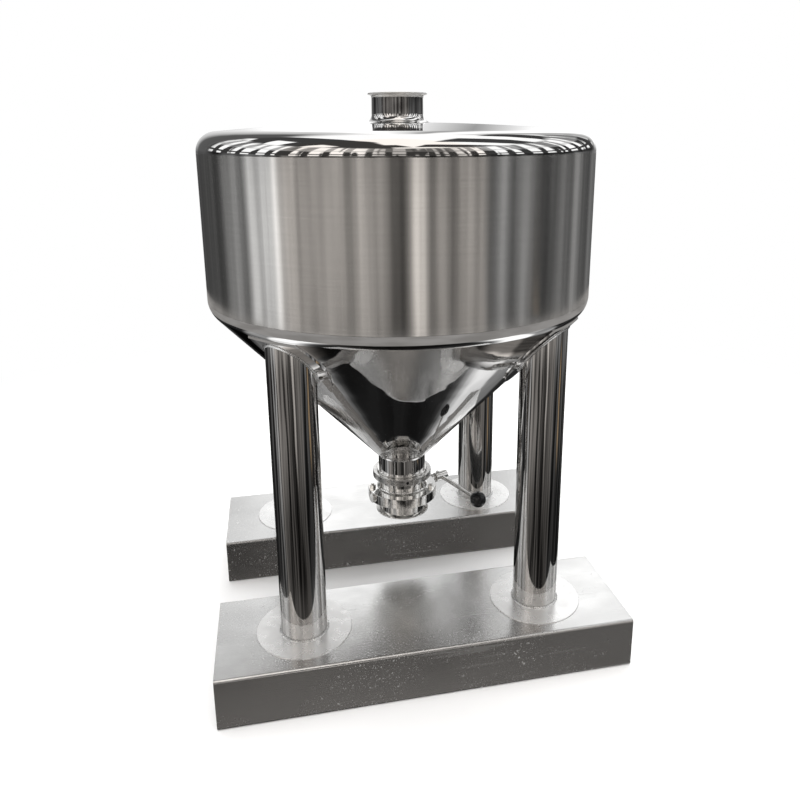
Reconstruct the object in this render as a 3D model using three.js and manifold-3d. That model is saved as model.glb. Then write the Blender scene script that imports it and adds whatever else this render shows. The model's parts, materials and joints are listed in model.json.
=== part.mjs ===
// A stainless steel storage tank with a conical bottom, standing on four tube legs and two box beams.
// Units are millimetres, +Z is up, and the origin is on the floor under the middle of the tank.
// X runs along the beams, and -Y is the front.
import * as THREE from "three";
import { mergeVertices } from "three/addons/utils/BufferGeometryUtils.js";
import Module from "manifold-3d";

const wasm = await Module();
wasm.setup();

// ---------------------------------------------------------------- driving dimensions

const TANK_RADIUS = 500; // outside of the rolled shell
const SHEET = 4; // wall of shell, heads and beams
const TANK_SIDES = 48; // flats round the shell and heads

const SHELL_BOTTOM = 932;
const SHELL_TOP = 1291;
const KNUCKLE_RADIUS = 50; // both heads turn in from the shell on this radius
const DISH_RADIUS = 5000; // very shallow crown of the top head
const CONE_HALF_ANGLE = THREE.MathUtils.degToRad(43); // from the vertical

const PIPE_RADIUS = 66.5; // 133 mm tube of inlet and outlet
const PIPE_WALL = 3;
const PIPE_SIDES = 32;
const FLARE_RADIUS = 22; // pulled collar between top head and inlet tube

const FERRULE_RADIUS = 75;
const FERRULE_RIM = 2.85; // thickness at the outer edge
const FERRULE_BEVEL = THREE.MathUtils.degToRad(20);
const FERRULE_LENGTH = 11;
const OUTLET_FERRULE_LENGTH = 14;
const COLLAR_RADIUS = 72;
const COLLAR_DEPTH = 8.6; // from the outlet ferrule's face up to its collar, just above the clamp
const INLET_TOP = 1433;

const CLAMP_RADIUS = 83.3;
const CLAMP_HEIGHT = 17.5;
const CLAMP_CENTRE = 390.25; // height of the joint between tank outlet and valve
const CLAMP_HINGE_ANGLE = -76; // degrees from +X
const GASKET_GAP = 1;

const VALVE_CENTRE = 333.5; // height of the stem
const VALVE_BOTTOM = 275;
const BODY_RADIUS = 98;
const BODY_HALF_HEIGHT = 14;
const SPLIT_GAP = 0.4; // between the two body halves
const BORE_RADIUS = 62.5;
const BOLT_CIRCLE = 86;
const BOLT_RADIUS = 5;
const BOLT_ANGLES = [-25, 45, 110, 180]; // degrees from +X
const ACROSS_FLATS = 17; // of the bolts' heads and nuts

const STEM_ANGLE = 23; // degrees from +X
const STEM_RADIUS = 6;
const RUNNING_GAP = 0.3; // round the stem, and between pieces that rest on each other
const BOSS_RADIUS = 15;
const BOSS_END = 108; // from the bore's centre, along the stem
const BUSH_LENGTH = 4;
const DISC_RADIUS = 57;
const DISC_THICKNESS = 8;
const SPINE_RADIUS = 9; // of the thicker part of the disc round its stem
const SEAT_OUTER = 68;
const SEAT_INNER = 62.2;
const SEAT_HALF = 7.5; // half of its height
const HUB_RADIUS = 14;
const HUB_START = 117;
const HUB_END = 158;
const SCREW_OFFSET = 127; // of the hub's clamping screw, from the bore's centre
const ROD_OFFSET = 138; // from the bore's centre, along the stem
const ROD_RADIUS = 6;
const ROD_DEPTH = 7.3; // inner end of the rod, from the stem's axis
const KNOB_RADIUS = 22.5;
const KNOB_HOLE_END = 8; // depth of the rod's hole, from the ball's centre
const KNOB_REACH = 180; // from the stem to the middle of the ball

const LEG_X = 304;
const LEG_Y = 295;
const LEG_RADIUS = 57;
const LEG_WALL = 3;
const LEG_SIDES = 24;
const PAD_RADIUS = 92; // of the saddle plate round each leg's top, seen from above
const PAD_THICKNESS = 4;
const FOOT_RADIUS = 118;
const FOOT_THICKNESS = 2;

const BEAM_LENGTH = 1034;
const BEAM_WIDTH = 300;
const BEAM_HEIGHT = 133;
const BEAM_CORNER = 7; // outer bend radius of the folded sheet

// ---------------------------------------------------------------- materials

const mirrorSteel = new THREE.MeshStandardMaterial({ color: 0xb9bbbd, roughness: 0.08, metalness: 1 });
const brushedSteel = new THREE.MeshStandardMaterial({ color: 0xa8a5a1, roughness: 0.35, metalness: 1 });
const beamSteel = new THREE.MeshStandardMaterial({ color: 0xb4b4b2, roughness: 0.3, metalness: 1 });
const valveSteel = new THREE.MeshStandardMaterial({ color: 0xc4c2be, roughness: 0.16, metalness: 1 });
const blackPlastic = new THREE.MeshStandardMaterial({ color: 0x0b0b0c, roughness: 0.25, metalness: 0 });
const sealRubber = new THREE.MeshStandardMaterial({ color: 0xd9d6cf, roughness: 0.6, metalness: 0 });

// ---------------------------------------------------------------- geometry helpers

const up = (radius, height) => new THREE.Vector2(radius, height);
const radians = THREE.MathUtils.degToRad;

// Points along an arc in the radius-height plane, from one angle to another, both ends included.
function arc(centreRadius, centreHeight, radius, from, to, steps) {
  const points = [];
  for (let i = 0; i <= steps; i++) {
    const angle = from + ((to - from) * i) / steps;
    points.push(up(centreRadius + radius * Math.cos(angle), centreHeight + radius * Math.sin(angle)));
  }
  return points;
}

// A ring turned round Z from a closed section, given anticlockwise with the radius to the right.
function turned(section, sides) {
  const geometry = new THREE.LatheGeometry([...section, section[0]], sides);
  return geometry.rotateX(Math.PI / 2);
}

// A solid turned round Z from an outline that starts and ends on the axis, bottom to top.
function spindle(outline, sides) {
  return new THREE.LatheGeometry(outline, sides).rotateX(Math.PI / 2);
}

function cylinderAlongZ(radius, from, to, sides) {
  const geometry = new THREE.CylinderGeometry(radius, radius, to - from, sides);
  return geometry.rotateX(Math.PI / 2).translate(0, 0, (from + to) / 2);
}

function cylinderAlongX(radius, from, to, sides) {
  const geometry = new THREE.CylinderGeometry(radius, radius, to - from, sides);
  return geometry.rotateZ(-Math.PI / 2).translate((from + to) / 2, 0, 0);
}

function block(x0, x1, y0, y1, z0, z1) {
  const geometry = new THREE.BoxGeometry(x1 - x0, y1 - y0, z1 - z0);
  return geometry.translate((x0 + x1) / 2, (y0 + y1) / 2, (z0 + z1) / 2);
}

// A hexagonal prism along Z, given its size across the flats.
function hexagon(acrossFlats, from, to) {
  return cylinderAlongZ(acrossFlats / Math.sqrt(3), from, to, 6);
}

function solid(geometry) {
  const bare = geometry.clone();
  bare.deleteAttribute("normal");
  bare.deleteAttribute("uv");
  const merged = mergeVertices(bare, 1e-3);
  return new wasm.Manifold(
    new wasm.Mesh({
      numProp: 3,
      vertProperties: merged.attributes.position.array,
      triVerts: new Uint32Array(merged.index.array),
    }),
  );
}

function geometryOf(manifold) {
  const mesh = manifold.getMesh();
  const geometry = new THREE.BufferGeometry();
  geometry.setAttribute("position", new THREE.BufferAttribute(mesh.vertProperties, 3));
  geometry.setIndex(new THREE.BufferAttribute(mesh.triVerts, 1));
  geometry.computeVertexNormals();
  return geometry;
}

const joined = (...geometries) => geometries.map(solid).reduce((sum, next) => sum.add(next));

const tank = new THREE.Group();

function addTo(parent, name, geometry, material) {
  const mesh = new THREE.Mesh(geometry, material);
  mesh.name = name;
  parent.add(mesh);
  return mesh;
}

// ---------------------------------------------------------------- tank shell and heads

const knuckleCentre = TANK_RADIUS - KNUCKLE_RADIUS;
// The crown's centre, so that it runs tangent into the top knuckle.
const crownCentre = SHELL_TOP - Math.sqrt((DISH_RADIUS - KNUCKLE_RADIUS) ** 2 - knuckleCentre ** 2);
const crownEdgeAngle = Math.asin(knuckleCentre / (DISH_RADIUS - KNUCKLE_RADIUS)); // from the axis
const collarRadius = PIPE_RADIUS + FLARE_RADIUS; // where the pulled collar leaves the crown
const crownHeight = (radius, inset = 0) =>
  crownCentre + Math.sqrt((DISH_RADIUS - inset) ** 2 - radius ** 2);

function shell() {
  const inner = TANK_RADIUS - SHEET;
  const section = [
    up(inner, SHELL_BOTTOM),
    up(TANK_RADIUS, SHELL_BOTTOM),
    up(TANK_RADIUS, SHELL_TOP),
    up(inner, SHELL_TOP),
  ];
  return turned(section, TANK_SIDES);
}

// One face of the top head, from the shell to the collar, at a depth below the outer face.
function topHeadFace(inset) {
  const knuckle = arc(
    knuckleCentre, SHELL_TOP, KNUCKLE_RADIUS - inset, 0, Math.PI / 2 - crownEdgeAngle, 4,
  );
  const hole = collarRadius + RUNNING_GAP;
  return [...knuckle, up(hole, crownHeight(hole, inset))];
}

function topHead() {
  return turned([...topHeadFace(0), ...topHeadFace(SHEET).reverse()], TANK_SIDES);
}

const coneDirection = new THREE.Vector2(Math.cos(CONE_HALF_ANGLE), -Math.sin(CONE_HALF_ANGLE));
const coneTopRadius = knuckleCentre + KNUCKLE_RADIUS * coneDirection.x;
const coneTopHeight = SHELL_BOTTOM + KNUCKLE_RADIUS * coneDirection.y;

// Height of the cone's face at a radius, moved out along its normal by an offset.
function coneHeight(radius, offset = 0) {
  const edgeRadius = coneTopRadius + offset * coneDirection.x;
  const edgeHeight = coneTopHeight + offset * coneDirection.y;
  return edgeHeight - (edgeRadius - radius) / Math.tan(CONE_HALF_ANGLE);
}

const coneBottom = coneHeight(PIPE_RADIUS);

function bottomCone() {
  const knuckleFace = (offset) =>
    arc(knuckleCentre, SHELL_BOTTOM, KNUCKLE_RADIUS + offset, -CONE_HALF_ANGLE, 0, 3);
  const bore = PIPE_RADIUS - PIPE_WALL;
  const section = [
    up(bore, coneBottom),
    up(PIPE_RADIUS, coneBottom),
    ...knuckleFace(0),
    ...knuckleFace(-SHEET).reverse(),
    up(bore, coneHeight(bore, -SHEET)),
  ];
  return turned(section, TANK_SIDES);
}

// The space inside a face that follows the cone and its knuckle at an offset.
function insideCone(offset) {
  const outline = [
    up(0, coneHeight(0, offset)),
    ...arc(knuckleCentre, SHELL_BOTTOM, KNUCKLE_RADIUS + offset, -CONE_HALF_ANGLE, 0, 3),
    up(TANK_RADIUS + offset, SHELL_TOP),
    up(0, SHELL_TOP),
  ];
  return solid(spindle(outline, TANK_SIDES));
}

// ---------------------------------------------------------------- inlet and outlet

const pipeBore = PIPE_RADIUS - PIPE_WALL;
const bevelDepth = FERRULE_RIM + (FERRULE_RADIUS - PIPE_RADIUS) * Math.tan(FERRULE_BEVEL);

// The outside of a clamp ferrule as radius and depth below its sealing face, from the face inwards.
const ferruleRim = [
  [FERRULE_RADIUS, 0],
  [FERRULE_RADIUS, FERRULE_RIM],
  [PIPE_RADIUS, bevelDepth],
];

function inletFerrule() {
  const at = (radius, depth) => up(radius, INLET_TOP - depth);
  const section = [
    at(pipeBore, FERRULE_LENGTH),
    at(PIPE_RADIUS, FERRULE_LENGTH),
    ...ferruleRim.map(([radius, depth]) => at(radius, depth)).reverse(),
    at(pipeBore, 0),
  ];
  return turned(section, PIPE_SIDES);
}

// The tank's lower ferrule carries a collar that stands above the clamp.
function outletFerrule() {
  const face = CLAMP_CENTRE + GASKET_GAP / 2;
  const at = (radius, depth) => up(radius, face + depth);
  const section = [
    at(pipeBore, 0),
    ...ferruleRim.map(([radius, depth]) => at(radius, depth)),
    at(PIPE_RADIUS, COLLAR_DEPTH),
    at(COLLAR_RADIUS, COLLAR_DEPTH),
    at(COLLAR_RADIUS, OUTLET_FERRULE_LENGTH - 1),
    at(COLLAR_RADIUS - 1, OUTLET_FERRULE_LENGTH),
    at(pipeBore, OUTLET_FERRULE_LENGTH),
  ];
  return turned(section, PIPE_SIDES);
}

function inletNeck() {
  const flareCentre = crownHeight(collarRadius) + FLARE_RADIUS;
  const top = INLET_TOP - FERRULE_LENGTH;
  const flare = (radius) => arc(collarRadius, flareCentre, radius, -Math.PI / 2, -Math.PI, 4);
  const section = [
    ...flare(FLARE_RADIUS),
    up(PIPE_RADIUS, top),
    up(pipeBore, top),
    ...flare(FLARE_RADIUS + PIPE_WALL).reverse(),
  ];
  return turned(section, PIPE_SIDES);
}

function outletSpigot() {
  const bottom = CLAMP_CENTRE + GASKET_GAP / 2 + OUTLET_FERRULE_LENGTH;
  const section = [
    up(pipeBore, bottom),
    up(PIPE_RADIUS, bottom),
    up(PIPE_RADIUS, coneBottom),
    up(pipeBore, coneBottom),
  ];
  return turned(section, PIPE_SIDES);
}

// ---------------------------------------------------------------- clamp between outlet and valve

const clampBolt = 96; // distance of the tightening bolt and of its ears from the axis
const clampHinge = CLAMP_RADIUS + 1; // distance of the hinge pin from the axis
const hingePinRadius = 2;

// The ring that grips both ferrules, with its hinge towards +X.
function clampRing() {
  const inner = 70;
  const groove = 76.2;
  const lip = (groove - inner) * Math.tan(FERRULE_BEVEL);
  const grooveHalf = GASKET_GAP / 2 + FERRULE_RIM + 0.4;
  const half = CLAMP_HEIGHT / 2;
  const section = [
    up(inner, -half),
    up(CLAMP_RADIUS - 1, -half),
    up(CLAMP_RADIUS, 1 - half),
    up(CLAMP_RADIUS, half - 1),
    up(CLAMP_RADIUS - 1, half),
    up(inner, half),
    up(inner, grooveHalf + lip),
    up(groove, grooveHalf),
    up(groove, -grooveHalf),
    up(inner, -grooveHalf - lip),
  ];
  return solid(turned(section, PIPE_SIDES));
}

// A block on one side of the clamp's parting plane, between two distances from it.
function sideBlock(side, x0, x1, near, far, z0, z1) {
  return block(x0, x1, Math.min(side * near, side * far), Math.max(side * near, side * far), z0, z1);
}

// Half of the clamp: side 1 is its +Y half with the hinge's outer knuckles, side -1 has the middle one.
function clampHalf(side) {
  const half = CLAMP_HEIGHT / 2;
  const third = CLAMP_HEIGHT / 6;
  const ends = [[-half, -third - RUNNING_GAP], [third + RUNNING_GAP, half]];
  const knuckles = side > 0 ? ends : [[-third, third]];
  const atHinge = (radius, from, to) =>
    solid(cylinderAlongZ(radius, from, to, 16).translate(clampHinge, 0, 0));
  const ear = sideBlock(side, -clampBolt - 10, 5 - CLAMP_RADIUS, 3.5, 13, -half, half);
  const slot = block(-clampBolt - 5, -clampBolt + 5, -20, 20, 4 - half, half + 5);
  let body = clampRing().intersect(solid(sideBlock(side, -120, 120, 1.5, 120, -half - 1, half + 1)));
  body = body.add(solid(ear)).subtract(solid(slot)).subtract(atHinge(6, -half - 1, half + 1));
  for (const [from, to] of knuckles) {
    const arm = sideBlock(side, CLAMP_RADIUS - 8, clampHinge, 0, 5, from, to);
    body = body.add(solid(arm)).add(atHinge(5.5, from, to));
  }
  return geometryOf(body.subtract(atHinge(hingePinRadius + RUNNING_GAP, -half - 2, half + 2)));
}

function clampHingePin() {
  const half = CLAMP_HEIGHT / 2;
  return cylinderAlongZ(hingePinRadius, -half - 0.5, half + 0.5, 12).translate(clampHinge, 0, 0);
}

// The tightening bolt through the ears, with its head on one side and a wing nut on the other.
function clampWingBolt() {
  const shaft = cylinderAlongX(3.5, -26, 30, 12).rotateZ(Math.PI / 2);
  const head = cylinderAlongX(6, -20, -13.3, 6).rotateZ(Math.PI / 2);
  const nut = cylinderAlongX(6.5, 13.3, 24, 12).rotateZ(Math.PI / 2);
  const wing = (way) =>
    block(-2, 2, 15, 27, 0, 15)
      .rotateX(radians(-8))
      .rotateY(way * radians(35))
      .translate(way * 3, 0, 2);
  const bolt = joined(shaft, head, nut, wing(1), wing(-1));
  return geometryOf(bolt).translate(-clampBolt, 0, 0);
}

// ---------------------------------------------------------------- butterfly valve

const onBoltCircle = (geometry, angle) => {
  const turn = radians(angle);
  return geometry.translate(BOLT_CIRCLE * Math.cos(turn), BOLT_CIRCLE * Math.sin(turn), 0);
};

// One half of the valve's body, with heights measured from the stem: way 1 is the upper half.
function valveBody(way, ferruleFace) {
  const split = SPLIT_GAP / 2;
  const length = Math.abs(ferruleFace - VALVE_CENTRE);
  const fillet = 8;
  const section = [
    up(BORE_RADIUS, split),
    up(BODY_RADIUS, split),
    up(BODY_RADIUS, BODY_HALF_HEIGHT - 1),
    up(BODY_RADIUS - 1, BODY_HALF_HEIGHT),
    ...arc(PIPE_RADIUS + fillet, BODY_HALF_HEIGHT + fillet, fillet, -Math.PI / 2, -Math.PI, 3),
    ...ferruleRim.map(([radius, depth]) => up(radius, length - depth)).reverse(),
    up(BORE_RADIUS, length),
  ];
  const stem = radians(STEM_ANGLE);
  const boss = solid(cylinderAlongX(BOSS_RADIUS, 85, BOSS_END, 20).rotateZ(stem));
  const tail = solid(cylinderAlongX(BOSS_RADIUS - 2, -BODY_RADIUS - 6, -85, 20).rotateZ(stem));
  const bossSpace = solid(block(-200, 200, -200, 200, split, 100));
  const stemHole = cylinderAlongX(STEM_RADIUS + RUNNING_GAP, -80, BOSS_END + 5, 16).rotateZ(stem);
  let body = solid(turned(section, PIPE_SIDES));
  body = body.add(boss.add(tail).intersect(bossSpace));
  body = body.subtract(seatPocket()).subtract(solid(stemHole));
  for (const angle of BOLT_ANGLES) {
    const hole = cylinderAlongZ(BOLT_RADIUS + RUNNING_GAP, -1, 30, 12);
    body = body.subtract(solid(onBoltCircle(hole, angle)));
  }
  return geometryOf(way > 0 ? body : body.mirror([0, 0, 1]));
}

function seatPocket() {
  const reach = SEAT_HALF + RUNNING_GAP;
  return solid(cylinderAlongZ(SEAT_OUTER + RUNNING_GAP, -reach, reach, PIPE_SIDES));
}

// The soft ring that the disc closes against.
function valveSeat() {
  const section = [
    up(SEAT_INNER + 1.5, -SEAT_HALF),
    up(SEAT_OUTER, -SEAT_HALF),
    up(SEAT_OUTER, SEAT_HALF),
    up(SEAT_INNER + 1.5, SEAT_HALF),
    up(SEAT_INNER, SEAT_HALF - 3),
    up(SEAT_INNER, 3 - SEAT_HALF),
  ];
  const hole = cylinderAlongX(STEM_RADIUS + RUNNING_GAP, -90, 90, 16).rotateZ(radians(STEM_ANGLE));
  return geometryOf(solid(turned(section, PIPE_SIDES)).subtract(solid(hole)));
}

// The disc with its stem, which runs from a blind hole on the far side out to the handle.
function valveDisc() {
  const half = DISC_THICKNESS / 2;
  const disc = spindle(
    [up(0, -half), up(DISC_RADIUS - 4, -half), up(DISC_RADIUS, -1.5), up(DISC_RADIUS, 1.5),
      up(DISC_RADIUS - 4, half), up(0, half)],
    PIPE_SIDES,
  );
  const spine = cylinderAlongX(SPINE_RADIUS, -DISC_RADIUS + 6, DISC_RADIUS - 6, 16);
  const stem = cylinderAlongX(STEM_RADIUS, -78, HUB_END - 6, 16);
  return geometryOf(joined(disc, spine, stem));
}

function stemBush() {
  const ring = solid(cylinderAlongX(10, BOSS_END, BOSS_END + BUSH_LENGTH, 20));
  const hole = cylinderAlongX(STEM_RADIUS + RUNNING_GAP, BOSS_END - 1, HUB_START, 16);
  return geometryOf(ring.subtract(solid(hole)));
}

function valveBolt() {
  const head = hexagon(ACROSS_FLATS, -BODY_HALF_HEIGHT - 6.6, -BODY_HALF_HEIGHT - 0.1);
  const shank = cylinderAlongZ(BOLT_RADIUS, -BODY_HALF_HEIGHT - 3, BODY_HALF_HEIGHT + 12.5, 12);
  return geometryOf(joined(head, shank));
}

function valveNut() {
  const body = solid(hexagon(ACROSS_FLATS, BODY_HALF_HEIGHT + 0.1, BODY_HALF_HEIGHT + 8.4));
  const thread = cylinderAlongZ(BOLT_RADIUS + 0.1, BODY_HALF_HEIGHT - 1, BODY_HALF_HEIGHT + 10, 12);
  return geometryOf(body.subtract(solid(thread)));
}

// ---------------------------------------------------------------- handle, along +X as the stem lies

function handleHub() {
  const chamfer = 1.5;
  const outline = [
    up(0, HUB_START),
    up(HUB_RADIUS - chamfer, HUB_START),
    up(HUB_RADIUS, HUB_START + chamfer),
    up(HUB_RADIUS, HUB_END - chamfer),
    up(HUB_RADIUS - chamfer, HUB_END),
    up(0, HUB_END),
  ];
  // The outline is turned round Z, then laid along X.
  const barrel = solid(spindle(outline, 24).rotateY(Math.PI / 2));
  const socket = cylinderAlongX(STEM_RADIUS + RUNNING_GAP, HUB_START - 5, HUB_END - 5.7, 16);
  const rodHole = cylinderAlongX(ROD_RADIUS + RUNNING_GAP, ROD_DEPTH - RUNNING_GAP, 20, 16)
    .rotateZ(-Math.PI / 2)
    .translate(ROD_OFFSET, 0, 0);
  const screwHole = cylinderAlongZ(3.1, 7, 20, 12).translate(SCREW_OFFSET, 0, 0);
  return geometryOf(barrel.subtract(solid(socket)).subtract(solid(rodHole)).subtract(solid(screwHole)));
}

function hubScrew() {
  const thread = cylinderAlongZ(3, 7.2, HUB_RADIUS + 1, 12);
  const head = cylinderAlongZ(5, HUB_RADIUS + 0.4, HUB_RADIUS + 4.4, 16);
  const key = hexagon(4, HUB_RADIUS + 2.4, HUB_RADIUS + 6);
  const screw = joined(thread, head).subtract(solid(key));
  return geometryOf(screw).translate(SCREW_OFFSET, 0, 0);
}

function handleRod() {
  return cylinderAlongX(ROD_RADIUS, ROD_DEPTH, KNOB_REACH - KNOB_HOLE_END - RUNNING_GAP, 16)
    .rotateZ(-Math.PI / 2)
    .translate(ROD_OFFSET, 0, 0);
}

function handleKnob() {
  const collar = 9; // radius of the flat that faces the rod
  const start = Math.asin(collar / KNOB_RADIUS);
  const ball = arc(0, 0, KNOB_RADIUS, start - Math.PI / 2, Math.PI / 2, 9);
  ball[ball.length - 1].x = 0;
  const outline = [up(0, ball[0].y), ...ball];
  const hole = cylinderAlongZ(ROD_RADIUS + RUNNING_GAP, -KNOB_RADIUS - 5, -KNOB_HOLE_END, 16);
  const knob = solid(spindle(outline, 24)).subtract(solid(hole));
  return geometryOf(knob)
    .rotateX(Math.PI / 2) // the rod's hole now faces +Y
    .translate(ROD_OFFSET, -KNOB_REACH, 0);
}

// ---------------------------------------------------------------- legs, saddles and feet

const legPlaces = {
  front_left: [-LEG_X, -LEG_Y],
  front_right: [LEG_X, -LEG_Y],
  rear_left: [-LEG_X, LEG_Y],
  rear_right: [LEG_X, LEG_Y],
};

const saddleFace = insideCone(PAD_THICKNESS + 2 * RUNNING_GAP);
const saddleLayer = insideCone(PAD_THICKNESS + RUNNING_GAP).subtract(insideCone(RUNNING_GAP));
// Saddles stop where the cone turns into its knuckle.
const saddleLimit = solid(cylinderAlongZ(coneTopRadius, 0, SHELL_BOTTOM, TANK_SIDES));

function leg([x, y]) {
  const section = [
    up(LEG_RADIUS - LEG_WALL, BEAM_HEIGHT),
    up(LEG_RADIUS, BEAM_HEIGHT),
    up(LEG_RADIUS, SHELL_BOTTOM),
    up(LEG_RADIUS - LEG_WALL, SHELL_BOTTOM),
  ];
  return geometryOf(solid(turned(section, LEG_SIDES).translate(x, y, 0)).subtract(saddleFace));
}

function saddle([x, y]) {
  const outline = cylinderAlongZ(PAD_RADIUS, BEAM_HEIGHT, SHELL_TOP, LEG_SIDES).translate(x, y, 0);
  return geometryOf(saddleLayer.intersect(solid(outline)).intersect(saddleLimit));
}

function foot([x, y]) {
  const bore = LEG_RADIUS + RUNNING_GAP;
  const top = BEAM_HEIGHT + FOOT_THICKNESS;
  const section = [
    up(bore, BEAM_HEIGHT),
    up(FOOT_RADIUS, BEAM_HEIGHT),
    up(FOOT_RADIUS, top - 0.7),
    up(FOOT_RADIUS - 1.5, top),
    up(bore, top),
  ];
  return turned(section, LEG_SIDES).translate(x, y, 0);
}

// ---------------------------------------------------------------- box beams

function roundedRectangle(target, width, height, corner) {
  const x = width / 2;
  const y = height / 2;
  target.moveTo(x, corner - y);
  target.lineTo(x, y - corner);
  target.absarc(x - corner, y - corner, corner, 0, Math.PI / 2);
  target.lineTo(corner - x, y);
  target.absarc(corner - x, y - corner, corner, Math.PI / 2, Math.PI);
  target.lineTo(-x, corner - y);
  target.absarc(corner - x, corner - y, corner, Math.PI, 1.5 * Math.PI);
  target.lineTo(x - corner, -y);
  target.absarc(x - corner, corner - y, corner, 1.5 * Math.PI, 2 * Math.PI);
  return target;
}

function extruded(shape, depth) {
  return new THREE.ExtrudeGeometry(shape, { depth, bevelEnabled: false, curveSegments: 4 });
}

// A folded box section lying along X, with its middle at a distance y from the tank's axis.
function beamBox(y) {
  const shape = roundedRectangle(new THREE.Shape(), BEAM_WIDTH, BEAM_HEIGHT, BEAM_CORNER);
  shape.holes.push(
    roundedRectangle(
      new THREE.Path(), BEAM_WIDTH - 2 * SHEET, BEAM_HEIGHT - 2 * SHEET, BEAM_CORNER - SHEET,
    ),
  );
  const length = BEAM_LENGTH - 2 * SHEET;
  return layAlongX(extruded(shape, length), length).translate(0, y, 0);
}

function beamEnd(side, y) {
  const shape = roundedRectangle(new THREE.Shape(), BEAM_WIDTH, BEAM_HEIGHT, BEAM_CORNER);
  const middle = (side * (BEAM_LENGTH - SHEET)) / 2;
  return layAlongX(extruded(shape, SHEET), SHEET).translate(middle, y, 0);
}

// Turns a section drawn in XY and extruded along Z so that it lies along X, centred, on the floor.
function layAlongX(geometry, length) {
  return geometry
    .translate(0, 0, -length / 2)
    .rotateX(Math.PI / 2)
    .rotateZ(Math.PI / 2)
    .translate(0, 0, BEAM_HEIGHT / 2);
}

// ---------------------------------------------------------------- assembly

addTo(tank, "tank_shell", shell(), brushedSteel);
addTo(tank, "top_head", topHead(), mirrorSteel);
addTo(tank, "bottom_cone", bottomCone(), mirrorSteel);
addTo(tank, "inlet_neck", inletNeck(), mirrorSteel);
addTo(tank, "inlet_ferrule", inletFerrule(), mirrorSteel);
addTo(tank, "outlet_spigot", outletSpigot(), mirrorSteel);
addTo(tank, "outlet_ferrule", outletFerrule(), mirrorSteel);

const clamp = new THREE.Group();
clamp.position.z = CLAMP_CENTRE;
clamp.rotation.z = radians(CLAMP_HINGE_ANGLE);
addTo(clamp, "clamp_half_right", clampHalf(1), valveSteel);
addTo(clamp, "clamp_half_left", clampHalf(-1), valveSteel);
addTo(clamp, "clamp_hinge_pin", clampHingePin(), valveSteel);
addTo(clamp, "clamp_wing_bolt", clampWingBolt(), valveSteel);
tank.add(clamp);

const valve = new THREE.Group();
valve.position.z = VALVE_CENTRE;
addTo(valve, "valve_body_upper", valveBody(1, CLAMP_CENTRE - GASKET_GAP / 2), valveSteel);
addTo(valve, "valve_body_lower", valveBody(-1, VALVE_BOTTOM), valveSteel);
addTo(valve, "valve_seat", valveSeat(), sealRubber);
BOLT_ANGLES.forEach((angle, i) => {
  addTo(valve, `valve_bolt_${i + 1}`, onBoltCircle(valveBolt(), angle), valveSteel);
  addTo(valve, `valve_nut_${i + 1}`, onBoltCircle(valveNut(), angle), valveSteel);
});
const stem = new THREE.Group();
stem.rotation.z = radians(STEM_ANGLE);
addTo(stem, "stem_bush", stemBush(), sealRubber);
addTo(stem, "valve_disc", valveDisc(), valveSteel);
addTo(stem, "handle_hub", handleHub(), valveSteel);
addTo(stem, "hub_screw", hubScrew(), valveSteel);
addTo(stem, "handle_rod", handleRod(), valveSteel);
addTo(stem, "handle_knob", handleKnob(), blackPlastic);
valve.add(stem);
tank.add(valve);

for (const [name, place] of Object.entries(legPlaces)) {
  addTo(tank, `leg_${name}`, leg(place), mirrorSteel);
  addTo(tank, `saddle_${name}`, saddle(place), mirrorSteel);
  addTo(tank, `foot_plate_${name}`, foot(place), beamSteel);
}

for (const [name, y] of [["front", -LEG_Y], ["rear", LEG_Y]]) {
  addTo(tank, `${name}_beam`, beamBox(y), beamSteel);
  addTo(tank, `${name}_beam_end_left`, beamEnd(-1, y), beamSteel);
  addTo(tank, `${name}_beam_end_right`, beamEnd(1, y), beamSteel);
}

export default tank;
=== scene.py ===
"""Finished pieces, materials and stage for a steel storage tank on four legs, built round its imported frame.

Lengths are metres, +Z is up, and -Y is the front. Every piece keeps its place in its mesh.
"""

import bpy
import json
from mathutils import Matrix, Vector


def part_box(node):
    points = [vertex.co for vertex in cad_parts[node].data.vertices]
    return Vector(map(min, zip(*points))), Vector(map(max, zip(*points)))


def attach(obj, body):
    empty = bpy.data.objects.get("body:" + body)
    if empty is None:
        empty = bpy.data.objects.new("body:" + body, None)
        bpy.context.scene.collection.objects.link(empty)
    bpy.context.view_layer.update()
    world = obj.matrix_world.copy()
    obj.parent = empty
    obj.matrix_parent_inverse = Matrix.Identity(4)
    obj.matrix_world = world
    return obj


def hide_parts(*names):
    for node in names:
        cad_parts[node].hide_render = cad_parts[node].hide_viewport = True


bl_info = {
    "name": "Vertical Storage Tank",
    "version": (1, 0, 0),
    "blender": (4, 5, 0),
    "location": "View3D > Sidebar > Tank",
    "description": "Finished pieces, materials and stage of a conical-bottomed tank on four legs",
    "category": "Object",
}

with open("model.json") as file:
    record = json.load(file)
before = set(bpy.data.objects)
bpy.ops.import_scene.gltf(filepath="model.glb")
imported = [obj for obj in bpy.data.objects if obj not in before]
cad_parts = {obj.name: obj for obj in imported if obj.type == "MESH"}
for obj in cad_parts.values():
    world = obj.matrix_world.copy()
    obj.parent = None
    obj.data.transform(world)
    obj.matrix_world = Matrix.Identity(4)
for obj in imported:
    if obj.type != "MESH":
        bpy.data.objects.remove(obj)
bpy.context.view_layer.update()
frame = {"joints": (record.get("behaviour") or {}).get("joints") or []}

import json
import math
from contextlib import contextmanager

import bpy
from mathutils import Matrix, Vector

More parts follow.
